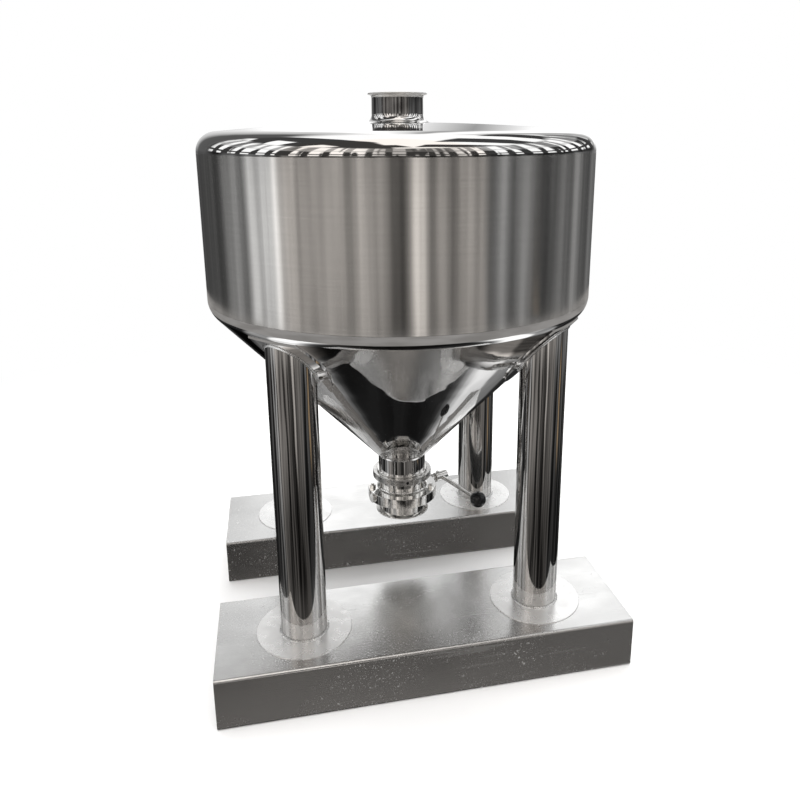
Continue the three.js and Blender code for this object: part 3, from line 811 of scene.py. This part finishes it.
class TANK_OT_legs(bpy.types.Operator):
    """Copes the legs to the cone and makes their saddles, feet and welds"""

    bl_idname = "tank.legs"
    bl_label = "Legs"
    bl_options = {"REGISTER", "UNDO"}

    def execute(self, context):
        given = sizes()
        for index, side in enumerate(LEG_SIDES):
            place = middle(f"foot_plate_{side}")
            self.leg(given, side, place)
            self.saddle(given, side, place)
            self.top_weld(given, side, place, index + len(LEG_SIDES))
            self.foot(given, side, place, index)
        return {"FINISHED"}

    def leg(self, given, side, place):
        outline = [
            (given.leg - given.leg_wall, BEAM_TOP), (given.leg, BEAM_TOP),
            (given.leg, SHELL_BOTTOM), (given.leg - given.leg_wall, SHELL_BOTTOM),
        ]
        leg = settle(turned(f"tube_{side}", outline, LEG_ROUND), at=(place.x, place.y, 0))
        cut(leg, cone_tool(given, "cope", given.saddle_sheet + 2 * GAP))
        delivered(leg, "tube_steel", [f"leg_{side}"])

    def saddle(self, given, side, place):
        plate = cylinder("saddle", given.saddle, BEAM_TOP, SHELL_BOTTOM, LEG_ROUND, (place.x, place.y))
        plate.name = f"cone_saddle_{side}"
        limit = cylinder("limit", cone_top(given)[0], 0, SHELL_TOP, ROUND)
        combined(plate, limit, "INTERSECT")
        combined(plate, cone_tool(given, "outside", given.saddle_sheet + GAP), "INTERSECT")
        cut(plate, cone_tool(given, "inside", GAP))
        delivered(rounded(plate, 0.0013, 3, 50), "mirror_steel", [f"saddle_{side}"])

    def top_weld(self, given, side, place, seed):
        """A bead that follows the saddle round the leg's top."""
        weld = settle(bead(f"top_weld_{side}", given.leg, given.weld, 1.0, 0.0003, seed), at=place)
        for vertex in weld.data.vertices:
            lift = cone_height(given, math.hypot(vertex.co.x, vertex.co.y), given.saddle_sheet + 2 * GAP)
            vertex.co.z += lift - place.z
        delivered(weld, "weld_steel", smooth=60)

    def foot(self, given, side, place, seed):
        top = BEAM_TOP + given.foot_sheet
        bore = given.leg + GAP
        outline = [
            (bore, BEAM_TOP), (given.foot, BEAM_TOP), (given.foot, top - 0.0008),
            (given.foot - 0.0004, top - 0.0002), (given.foot - 0.0012, top), (bore, top),
        ]
        plate = settle(turned(f"foot_{side}", outline, PIPE_ROUND), at=(place.x, place.y, 0))
        delivered(plate, "foot_sheet", [f"foot_plate_{side}"])
        weld = bead(f"foot_weld_{side}", given.leg, given.weld, 0.9, 0.0006, seed)
        delivered(settle(weld, at=(place.x, place.y, top)), "weld_steel", smooth=60)


class TANK_OT_beams(bpy.types.Operator):
    """Folds the two box beams and closes their ends"""

    bl_idname = "tank.beams"
    bl_label = "Beams"
    bl_options = {"REGISTER", "UNDO"}

    def execute(self, context):
        given = sizes()
        for row in ("front", "rear"):
            self.beam(given, row)
            for side in ("left", "right"):
                self.end(given, row, side)
        return {"FINISHED"}

    def beam(self, given, row):
        piece = block(f"{row}_box", *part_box(f"{row}_beam"))
        with editing_some(piece, "EDGE", runs_along_x(piece, given.beam_corner)):
            bpy.ops.mesh.bevel(offset=given.beam_corner, segments=6)
        with editing_some(piece, "FACE", lambda face: abs(face.normal.x) > 0.9):
            bpy.ops.mesh.delete(type="FACE")
        modified(piece, "SOLIDIFY", thickness=given.sheet, offset=-1, use_even_offset=True)
        delivered(piece, "beam_sheet", [f"{row}_beam"])

    def end(self, given, row, side):
        piece = block(f"{row}_end_{side}", *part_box(f"{row}_beam_end_{side}"))
        with editing_some(piece, "EDGE", runs_along_x(piece, given.sheet / 2)):
            bpy.ops.mesh.bevel(offset=given.beam_corner, segments=6)
        rounded(piece, 0.0005, 2, 60)
        delivered(piece, "beam_sheet", [f"{row}_beam_end_{side}"])


# ------------------------------------------------------------------ clamp and valve

def hexagon(name, across_flats, bottom, top):
    """A hexagon with its corners chamfered at both ends."""
    corner = across_flats / math.sqrt(3)
    flat = across_flats / 2
    drop = (corner - flat) * math.tan(math.radians(30))
    piece = cylinder(name, corner, bottom, top, 6)
    outline = [
        (0, bottom), (flat, bottom), (corner, bottom + drop), (corner * 1.001, (bottom + top) / 2),
        (corner, top - drop), (flat, top), (0, top),
    ]
    return combined(piece, turned("chamfer", outline, SMALL_ROUND, ring=False), "INTERSECT")


def threaded(name, radius, bottom, top, pitch=0.0015):
    """A turned shank whose upper part carries thread grooves."""
    depth = pitch * 0.4
    outline = [(0, bottom), (radius, bottom)]
    height = top - 8 * pitch
    while height < top - pitch:
        outline += [(radius, height), (radius - depth, height + pitch / 2)]
        height += pitch
    outline += [(radius, height), (radius - depth, top), (0, top)]
    return turned(name, outline, 32, ring=False)


class TANK_OT_clamp(bpy.types.Operator):
    """Makes the hinged clamp with its wing bolt"""

    bl_idname = "tank.clamp"
    bl_label = "Clamp"
    bl_options = {"REGISTER", "UNDO"}

    bolt_reach = 0.096  # from the middle of the ring to the wing bolt
    hinge_gap = 0.001  # from the ring's face to the hinge's axis
    pin_radius = 0.002
    hole_turn = math.radians(-13)  # of the small blind hole in one half, from the hinge
    hole_radius = 0.0042
    hole_depth = 0.006

    def execute(self, context):
        given = sizes()
        for side, name in ((1, "right"), (-1, "left")):
            half = self.half(given, side)
            half.name = f"clamp_jaw_{name}"
            delivered(self.placed(half), "clamp_steel", [f"clamp_half_{name}"])
        half = given.clamp_height / 2
        pin = barrel("clamp_pin", self.pin_radius, -half - 0.0005, half + 0.0005, 0.0004, 32)
        settle(pin, at=(given.clamp + self.hinge_gap, 0, 0))
        delivered(self.placed(pin), "valve_steel", ["clamp_hinge_pin"])
        delivered(self.placed(self.wing_bolt()), "valve_steel", ["clamp_wing_bolt"])
        # A black plug sunk in the small blind hole is painted shade: it darkens the hole as the hole's own
        # depth would.
        start, end = given.clamp - self.hole_depth + 0.0001, given.clamp - 0.0012
        painted_shade_plug = along_x(barrel("clamp_painted_shade_plug", self.hole_radius - 0.0002, start, end, 0.0004, 24))
        delivered(self.placed(settle(painted_shade_plug, turn_about("Z", self.hole_turn))), "black_knob")
        return {"FINISHED"}

    def placed(self, piece):
        return settle(piece, turn_about("Z", HINGE_TURN), at=(0, 0, CLAMP_CENTRE))

    def ring(self, given):
        inner, groove = 0.07, 0.0762
        lip = (groove - inner) * FERRULE_SLOPE
        slot = 0.0005 + given.ferrule_rim + 0.0004
        half, soft = given.clamp_height / 2, 0.0012
        outline = [
            (inner, -half), *arc(given.clamp - soft, soft - half, soft, -90, 0, 4),
            *arc(given.clamp - soft, half - soft, soft, 0, 90, 4),
            (inner, half), (inner, slot + lip), (groove, slot), (groove, -slot), (inner, -slot - lip),
        ]
        return turned("clamp_ring", outline, PIPE_ROUND)

    def half(self, given, side):
        half, third = given.clamp_height / 2, given.clamp_height / 6
        bolt, hinge = self.bolt_reach, given.clamp + self.hinge_gap
        ring = self.ring(given)

        def slab(x0, x1, near, far, z0, z1):
            y0, y1 = sorted((side * near, side * far))
            return block("slab", (x0, y0, z0), (x1, y1, z1))

        combined(ring, slab(-0.12, 0.12, 0.0015, 0.12, -half - 0.001, half + 0.001), "INTERSECT")
        ear = rounded(slab(-bolt - 0.01, 0.005 - given.clamp, 0.0035, 0.013, -half, half), 0.0015, 3)
        combined(ring, ear, "UNION")
        slot = block("slot", (-bolt - 0.005, -0.02, 0.004 - half), (-bolt + 0.005, 0.02, half + 0.005))
        knuckle_space = settle(cylinder("space", 0.006, -half - 0.001, half + 0.001), at=(hinge, 0, 0))
        cut(ring, slot, knuckle_space)
        if side < 0:
            start, end = given.clamp - self.hole_depth, given.clamp + 0.003
            hole = along_x(cylinder("hole", self.hole_radius, start, end, 24))
            cut(ring, settle(hole, turn_about("Z", self.hole_turn)))
        spans = [(-third, third)] if side < 0 else [(-half, -third - GAP), (third + GAP, half)]
        for start, end in spans:
            combined(ring, slab(given.clamp - 0.008, hinge, 0, 0.005, start, end), "UNION")
            combined(ring, settle(cylinder("eye", 0.0055, start, end, 40), at=(hinge, 0, 0)), "UNION")
        pin_hole = cylinder("pin_hole", self.pin_radius + RUNNING_FIT, -half - 0.002, half + 0.002, 32)
        return cut(ring, settle(pin_hole, at=(hinge, 0, 0)))

    def wing_bolt(self):
        shaft = threaded("wing_bolt", 0.0035, -0.026, 0.03, 0.001)
        head = hexagon("head", 0.0105, -0.02, -0.0133)
        nut = barrel("nut", 0.0065, 0.0133, 0.024, 0.001, 40)
        combined(combined(shaft, head, "UNION"), nut, "UNION")
        settle(shaft, turn_about("X", -math.pi / 2))
        for way in (1, -1):
            wing = rounded(block("wing", (-0.002, 0.015, 0), (0.002, 0.027, 0.015)), 0.0015, 3)
            lean, spread = turn_about("X", math.radians(-8)), turn_about("Y", way * math.radians(35))
            combined(shaft, settle(wing, spread, lean, at=(way * 0.003, 0, 0.002)), "UNION")
        return settle(shaft, at=(-self.bolt_reach, 0, 0))


def on_stem(piece, offset=0.0):
    """Moves a piece made along X onto the valve's stem."""
    settle(piece, at=(offset, 0, 0))
    return settle(piece, turn_about("Z", STEM_TURN), at=(0, 0, VALVE_CENTRE))


class TANK_OT_valve(bpy.types.Operator):
    """Makes the butterfly valve's body, seat, bolts and bush"""

    bl_idname = "tank.valve"
    bl_label = "Valve body"
    bl_options = {"REGISTER", "UNDO"}

    boss_radius, tail_radius = 0.015, 0.013
    boss_start, boss_end = 0.085, 0.108
    bush_radius, bush_length = 0.01, 0.004
    across_flats = 0.017  # of the bolts' heads and the nuts

    def execute(self, context):
        given = sizes()
        delivered(self.body(given, 1, high("valve_body_upper").z), "valve_steel", ["valve_body_upper"])
        delivered(self.body(given, -1, VALVE_BOTTOM), "valve_steel", ["valve_body_lower"])
        self.seat(given)
        self.fixings(given)
        self.bush()
        return {"FINISHED"}

    def body(self, given, way, face):
        length = abs(face - VALVE_CENTRE)
        split, fillet, edge = 0.0002, 0.008, 0.001
        rim = given.ferrule_rim
        below = -0.005  # the half is turned too long, and trimmed at the split
        pocket, pocket_top = 0.0683, 0.0078  # room for the soft seat
        outline = [
            (pocket, below), (given.valve, below),
            *arc(given.valve - edge, given.valve_half - edge, edge, 0, 90, 4),
            *arc(given.pipe + fillet, given.valve_half + fillet, fillet, -90, -180, 10),
            (given.pipe, length - ferrule_back(given)), (given.ferrule - RIM_EDGE, length - rim - 0.0002),
            (given.ferrule, length - rim + 0.0004), (given.ferrule, length - RIM_EDGE),
            (given.ferrule - RIM_EDGE, length), (given.valve_bore, length),
            (given.valve_bore, pocket_top), (pocket, pocket_top),
        ]
        body = turned("valve_ring", outline, PIPE_ROUND)
        boss = along_x(barrel("boss", self.boss_radius, self.boss_start, self.boss_end, edge))
        tail = along_x(barrel("tail", self.tail_radius, -given.valve - 0.006, -self.boss_start, edge))
        for stub in (boss, tail):
            combined(body, settle(stub, turn_about("Z", STEM_TURN)), "UNION")
        hole = along_x(cylinder("hole", STEM_RADIUS + RUNNING_FIT, -0.08, self.boss_end + 0.005, 48))
        settle(hole, turn_about("Z", STEM_TURN))
        cut(body, block("trim", (-0.2, -0.2, -0.1), (0.2, 0.2, split)), hole)
        for turn in self.bolt_turns():
            place = (given.bolt_circle * math.cos(turn), given.bolt_circle * math.sin(turn))
            cut(body, cylinder("bolt_hole", given.bolt + RUNNING_FIT, -0.001, 0.03, 40, place))
        with editing(body):
            bpy.ops.mesh.remove_doubles(threshold=MERGED)
            bpy.ops.mesh.dissolve_degenerate(threshold=MERGED)
        if way < 0:
            settle(body, Matrix.Scale(-1, 4, (0, 0, 1)))
            with editing(body):
                bpy.ops.mesh.normals_make_consistent(inside=False)
        body.name = "valve_ring_upper" if way > 0 else "valve_ring_lower"
        return settle(body, at=(0, 0, VALVE_CENTRE))

    def bolt_turns(self):
        """Angle of each bolt round the valve, from the frame."""
        return [
            math.atan2(middle(f"valve_nut_{number}").y, middle(f"valve_nut_{number}").x)
            for number in (1, 2, 3, 4)
        ]

    def seat(self, given):
        inner, outer, half = 0.0622, 0.068, 0.0075
        lead, lead_height = 0.0015, 0.003  # where the seat opens towards both faces
        outline = [
            (inner + lead, -half), (outer, -half), (outer, half), (inner + lead, half),
            (inner, half - lead_height), (inner, lead_height - half),
        ]
        seat = turned("soft_seat", outline, PIPE_ROUND)
        hole = along_x(cylinder("hole", STEM_RADIUS + RUNNING_FIT, -0.09, 0.09, 48))
        settle(hole, turn_about("Z", STEM_TURN))
        delivered(settle(cut(seat, hole), at=(0, 0, VALVE_CENTRE)), "seal_ring", ["valve_seat"])

    def bush(self):
        bore, start, end = STEM_RADIUS + RUNNING_FIT, self.boss_end, self.boss_end + self.bush_length
        radius, shoulder = self.bush_radius, self.bush_radius - RIM_EDGE
        outline = [
            (bore, start), (shoulder, start), (radius, start + RIM_EDGE), (radius, end - RIM_EDGE),
            (shoulder, end), (bore, end),
        ]
        bush = turned("shaft_bush", outline, SMALL_ROUND)
        delivered(on_stem(along_x(bush)), "seal_ring", ["stem_bush"])

    def fixings(self, given):
        top = given.valve_half
        bolt = threaded("bolt", given.bolt, -top - 0.003, top + 0.0125)
        combined(bolt, hexagon("head", self.across_flats, -top - 0.0066, -top - 0.0001), "UNION")
        nut = hexagon("nut", self.across_flats, top + 0.0001, top + 0.0084)
        cut(nut, cylinder("thread", given.bolt + 0.0001, top - 0.001, top + 0.01, 40))
        for number, turn in enumerate(self.bolt_turns(), 1):
            place = (given.bolt_circle * math.cos(turn), given.bolt_circle * math.sin(turn), VALVE_CENTRE)
            for kind, pattern in (("bolt", bolt), ("nut", nut)):
                piece = settle(copied(pattern, f"body_{kind}_{number}"), at=place)
                delivered(piece, "valve_steel", [f"valve_{kind}_{number}"])
        for pattern in (bolt, nut):
            bpy.data.objects.remove(pattern, do_unlink=True)


class TANK_OT_handle(bpy.types.Operator):
    """Makes the disc with its stem, and the handle's hub, screw, rod and knob"""

    bl_idname = "tank.handle"
    bl_label = "Disc and handle"
    bl_options = {"REGISTER", "UNDO"}

    hub_start, hub_end = 0.117, 0.158
    rod_offset, rod_start = 0.138, 0.0073
    screw_offset, screw_radius, screw_head = 0.127, 0.003, 0.005
    reach = 0.18  # from the stem to the middle of the knob

    def execute(self, context):
        given = sizes()
        self.disc()
        self.hub(given)
        self.screw(given)
        rod = barrel("handle_bar", given.rod, self.rod_start, self.reach - 0.0083, 0.0008)
        delivered(on_stem(towards_front(rod), self.rod_offset), "valve_steel", ["handle_rod"], HANDLE)
        self.knob(given)
        return {"FINISHED"}

    def disc(self):
        radius, half = 0.057, 0.004
        outline = [
            (0, -half), (radius - 0.004, -half), (radius, -0.0015), (radius, 0.0015), (radius - 0.004, half),
            (0, half),
        ]
        disc = turned("closing_disc", outline, PIPE_ROUND, ring=False)
        combined(disc, along_x(barrel("spine", 0.009, -radius + 0.006, radius - 0.006, 0.001)), "UNION")
        stem = along_x(barrel("stem", STEM_RADIUS, -0.078, self.hub_end - 0.006))
        delivered(on_stem(combined(disc, stem, "UNION")), "valve_steel", ["valve_disc"], HANDLE)

    def hub(self, given):
        soft = 0.0015
        outline = [
            (0, self.hub_start), *arc(given.hub - soft, self.hub_start + soft, soft, -90, 0, 4),
            *arc(given.hub - soft, self.hub_end - soft, soft, 0, 90, 4), (0, self.hub_end),
        ]
        hub = along_x(turned("handle_boss", outline, LEG_ROUND, ring=False))
        socket = along_x(cylinder("socket", 0.0063, self.hub_start - 0.005, self.hub_end - 0.0057, 48))
        rod_hole = towards_front(cylinder("rod_hole", given.rod + RUNNING_FIT, 0.007, 0.02, 48))
        settle(rod_hole, at=(self.rod_offset, 0, 0))
        screw_place = (self.screw_offset, 0)
        screw_hole = cylinder("screw_hole", self.screw_radius + 0.0001, 0.007, 0.02, 32, screw_place)
        delivered(on_stem(cut(hub, socket, rod_hole, screw_hole)), "valve_steel", ["handle_hub"], HANDLE)

    def screw(self, given):
        top = given.hub
        shank = threaded("hub_bolt", self.screw_radius, 0.0072, top + 0.001, 0.0007)
        combined(shank, barrel("head", self.screw_head, top + 0.0004, top + 0.0044, 0.0006, 48), "UNION")
        cut(shank, cylinder("key", 0.004 / math.sqrt(3), top + 0.0024, top + 0.006, 6))
        delivered(on_stem(shank, self.screw_offset), "valve_steel", ["hub_screw"], HANDLE)

    def knob(self, given):
        collar = 0.009
        start = math.degrees(math.asin(collar / given.knob)) - 90
        ball = arc(0, 0, given.knob, start, 90, 36)
        outline = [(0, ball[0][1]), *ball[:-1], (0, given.knob)]
        knob = turned("black_ball", outline, LEG_ROUND, ring=False)
        cut(knob, cylinder("hole", given.rod + RUNNING_FIT, -given.knob - 0.005, -0.008, 48))
        settle(towards_front(knob), at=(0, -self.reach, 0))
        delivered(on_stem(knob, self.rod_offset), "black_knob", ["handle_knob"], HANDLE)


# ------------------------------------------------------------------ stage

# Boards and lamps that stand round the tank, as (degrees from the front towards the right, brightness).
LEFT_BOARDS = [
    (-180, 0.06), (-126, 0.08), (-112, 0.34), (-103, 0.22), (-97, 0.78), (-92, 0.45), (-88, 1.0),
    (-84, 0.7), (-80, 1.05), (-76, 0.65), (-72, 0.75), (-66, 0.43), (-50, 0.47), (-44, 0.55), (-37, 0.32),
    (-29, 0.58), (-22, 0.37), (-18, 0.42), (-13, 0.16), (-8, 0.06), (-4.5, 0.3), (-1.5, 0.95), (0, 1.0),
]
RIGHT_BOARDS = [
    (0, 1.0), (3, 0.95), (5.5, 0.45), (7, 0.22), (13, 0.38), (19, 0.2), (28, 0.52), (33, 0.32), (37, 0.42),
    (41, 0.15), (50, 0.33), (56, 0.1), (64, 0.37), (71, 0.1), (80, 0.06), (90, 0.18), (103, 0.14),
    (107, 0.33), (116, 0.14), (127, 0.08), (135, 0.2), (150, 0.08), (180, 0.06),
]
# The bright wall behind, as (degrees from the back towards the right, brightness).
BACK_WALL = [
    (-60, 0.1), (-22, 0.12), (-13, 0.6), (-7, 0.75), (-2, 0.85), (1, 1.3), (6, 1.5), (10, 1.1),
    (13, 0.7), (16, 0.35), (19, 0.8), (22, 1.4), (30, 1.5), (36, 0.6), (44, 0.12), (60, 0.1),
]
WARM_LIGHT = (1.0, 0.945, 0.895)
TAN_BOARD = (0.42, 0.30, 0.18)


def along_wall(tree, bearing, boards, start, end):
    """Brightness of a row of boards at a bearing, with its ends given in degrees."""
    span = end - start
    stops = [((place - start) / span, level) for place, level in boards]
    settings = {"stops": stops}
    return tree.add("ShaderNodeValToRGB", settings, {"Fac": (bearing - start) / span})


class TANK_OT_stage(bpy.types.Operator):
    """Sets up the studio, the floor and the camera"""

    bl_idname = "tank.stage"
    bl_label = "Stage"
    bl_options = {"REGISTER", "UNDO"}

    def execute(self, context):
        self.studio()
        self.floor()
        self.lamp()
        self.card()
        self.camera()
        return {"FINISHED"}

    def studio(self):
        world = bpy.data.worlds.new("studio")
        bpy.context.scene.world = world
        tree = Tree(world)
        direction = tree.add("ShaderNodeTexCoord", output="Generated")
        x, y, z = (
            tree.add("ShaderNodeSeparateXYZ", None, {"Vector": direction}, axis) for axis in "XYZ"
        )
        drift = tree.noise(direction, 2.2, 2, 0.5) - 0.5
        degrees = 180 / math.pi
        rise = tree.maths("ARCSINE", z) * degrees + drift * 4
        bearing = tree.maths("ARCTAN2", x, y * -1) * degrees + drift * 2
        behind = tree.maths("ARCTAN2", x, y) * degrees

        left = along_wall(tree, bearing, LEFT_BOARDS, -180, 0)
        right = along_wall(tree, bearing, RIGHT_BOARDS, 0, 180)
        slats = tree.noise(tree.add("ShaderNodeCombineXYZ", None, {"X": bearing * 0.12}), 1.0, 2, 0.6)
        boards = tree.blend(bearing > 0, left, right) * slats.ramp(0.3, 0.7, 0.78, 1.22)

        # The boards fade into a dark floor with long stripes, which is darkest under the tank: painted shadow
        # of the tank on the floor that the reflections see.
        around = tree.add("ShaderNodeCombineXYZ", None, {"X": bearing * 0.023, "Y": rise * 0.015})
        stripes = tree.noise(around, 3.0, 2, 0.5)
        broad = stripes.ramp(0.38, 0.62, 0.08, 1.3) * rise.ramp(-14, -20, 1.0, 0.55)
        broad = broad * rise.ramp(-22, -30, 1.0, 0.4)
        near = stripes.ramp(0.35, 0.65, 0.07, 0.13) + rise.ramp(-44, -47) * rise.ramp(-62, -54) * 0.25
        near = near * rise.ramp(-54, -64, 1.0, 0.07)
        near = near * bearing.size().ramp(45, 80, 1.0, 4.0) * bearing.size().ramp(120, 150, 1.0, 0.4)
        floor = tree.blend(rise.ramp(-33, -37), boards * broad, near)
        walls = tree.blend(rise.ramp(-14, -19), boards, floor)
        walls = tree.blend(rise.ramp(-0.5, 2.5), walls, boards * stripes.ramp(0.4, 0.6, 0.06, 0.35))

        # Windows stand above the boards, and the roof is dark with long skylights along X.
        bays = tree.add("ShaderNodeCombineXYZ", None, {"X": bearing * 0.055, "Y": rise * 0.004})
        bay = tree.noise(bays, 3.0, 1, 0.4)
        mullion = (bearing * 0.55).sine().ramp(-0.5, -0.3)
        middle_dark = bearing.size().ramp(14, 34, 0.4, 1.0)
        rails = (rise * 0.45).sine().ramp(-0.85, -0.6)
        windows = bay.ramp(0.4, 0.46) * mullion * rails * middle_dark
        upper = bay.ramp(0.35, 0.55, 0.3, 1.0) * mullion.ramp(0, 1, 0.5, 1.0) * rise.ramp(20, 23)
        upper = upper * bearing.size().ramp(14, 40, 0.2, 0.75)
        windows = windows.at_least(upper) * 1.3 + 0.05
        across = y / z.at_least(0.05)
        along = x / z.at_least(0.05)
        rows = (across * 9.0).sine().ramp(0.1, 0.3)
        gaps = (along * 3.1).sine().ramp(-0.75, -0.6)
        skylight = ((across + 1.1) * 0.3 - along.size()).ramp(-0.02, 0.03) * across.ramp(2.5, 2.0)
        roof = (rows * gaps).at_least(skylight) * 1.3 + 0.06
        above = tree.blend(rise.ramp(36, 41), windows, roof)
        front = tree.blend(rise.ramp(4, 7), walls, above)

        wall = along_wall(tree, behind, BACK_WALL, -60, 60)
        back = tree.blend(rise.ramp(-3, 3), walls, wall)
        at_back = behind.size().ramp(50, 36) * rise.ramp(66, 50)
        level = tree.blend(at_back, front, back)
        warm = bearing.ramp(-85, -70) * bearing.ramp(45, 35)
        tint = tree.blend(warm, (1, 1, 1), WARM_LIGHT)
        lit = tree.blend(1.0, level, tint, "MULTIPLY")
        tan = (bearing - 74).size().ramp(5, 2) * (rise + 21).size().ramp(6, 2) * stripes.ramp(0.4, 0.5)
        room = tree.blend(tan, lit, TAN_BOARD)
        seen = tree.add("ShaderNodeLightPath", output="Is Camera Ray")
        shade = tree.blend(seen, room, finishes().backdrop)
        background = tree.add("ShaderNodeBackground", None, {"Color": shade})
        tree.add("ShaderNodeOutputWorld", None, {"Surface": background})

    def floor(self):
        floor = primitive("plane", "studio_floor", size=40)
        with editing(floor):
            bpy.ops.mesh.subdivide(number_cuts=3)
        floor.data.materials.append(painted("pale_floor"))
        floor.visible_glossy = False
        floor.visible_shadow = False

    def lamp(self):
        bpy.ops.object.select_all(action="DESELECT")
        bpy.ops.object.light_add(type="AREA", location=(0, 0, 5))
        lamp = bpy.context.object
        lamp.name = "soft_overhead"
        lamp.data.shape = "DISK"
        lamp.data.size = 7
        lamp.data.energy = 420
        lamp.visible_glossy = False
        lamp.visible_camera = False

    def card(self):
        """A grey card round the tank that only reflections show, as the lower knuckle's pale strip."""
        radius = TANK_RADIUS + 0.19
        opening = 0.745  # of the card's radius
        place = (0, 0, SHELL_BOTTOM - 0.06)
        card = primitive("circle", "grey_card", vertices=96, radius=radius, location=place)
        with editing(card):
            bpy.ops.mesh.extrude_edges_move()
            bpy.ops.transform.resize(value=(opening, opening, 1))
        card.data.materials.append(painted("grey_card"))
        for kind in ("camera", "diffuse", "transmission", "volume_scatter", "shadow"):
            setattr(card, f"visible_{kind}", False)

    def camera(self):
        bpy.ops.object.select_all(action="DESELECT")
        place = (-0.33114, -1.91187, 1.34071)
        heading, dip, roll = math.radians(11.996), math.radians(14.554), math.radians(0.162)
        bpy.ops.object.camera_add(location=place)
        camera = bpy.context.object
        camera.name = "view"
        camera.data.lens = 32.91
        camera.data.sensor_width = 36
        camera.data.shift_x = -0.0336
        camera.data.shift_y = -0.0992
        turn = turn_about("Z", -heading) @ turn_about("X", math.pi / 2 - dip) @ turn_about("Z", -roll)
        camera.rotation_euler = turn.to_euler()
        bpy.context.scene.camera = camera
        bpy.context.scene.view_settings.view_transform = "Standard"


class TANK_PT_sidebar(bpy.types.Panel):
    """Lists what the tank is built from"""

    bl_idname = "TANK_PT_sidebar"
    bl_label = "Vertical Storage Tank"
    bl_space_type = "VIEW_3D"
    bl_region_type = "UI"
    bl_category = "Tank"

    def draw(self, context):
        layout = self.layout
        for operator in OPERATORS:
            layout.operator(operator.bl_idname)
        for group in (context.scene.tank_sizes, context.scene.tank_finish):
            box = layout.box()
            for name in type(group).__annotations__:
                box.prop(group, name)


OPERATORS = (
    TANK_OT_shell, TANK_OT_heads, TANK_OT_pipework, TANK_OT_legs, TANK_OT_beams, TANK_OT_clamp,
    TANK_OT_valve, TANK_OT_handle, TANK_OT_stage,
)
CLASSES = (TankSizes, TankFinish, *OPERATORS, TANK_PT_sidebar)


def register():
    for each in CLASSES:
        bpy.utils.register_class(each)
    bpy.types.Scene.tank_sizes = bpy.props.PointerProperty(type=TankSizes)
    bpy.types.Scene.tank_finish = bpy.props.PointerProperty(type=TankFinish)


def unregister():
    del bpy.types.Scene.tank_finish
    del bpy.types.Scene.tank_sizes
    for each in reversed(CLASSES):
        bpy.utils.unregister_class(each)


def main():
    register()
    bpy.ops.tank.shell()
    bpy.ops.tank.heads()
    bpy.ops.tank.pipework()
    bpy.ops.tank.legs()
    bpy.ops.tank.beams()
    bpy.ops.tank.clamp()
    bpy.ops.tank.valve()
    bpy.ops.tank.handle()
    bpy.ops.tank.stage()


if __name__ == "__main__":
    main()
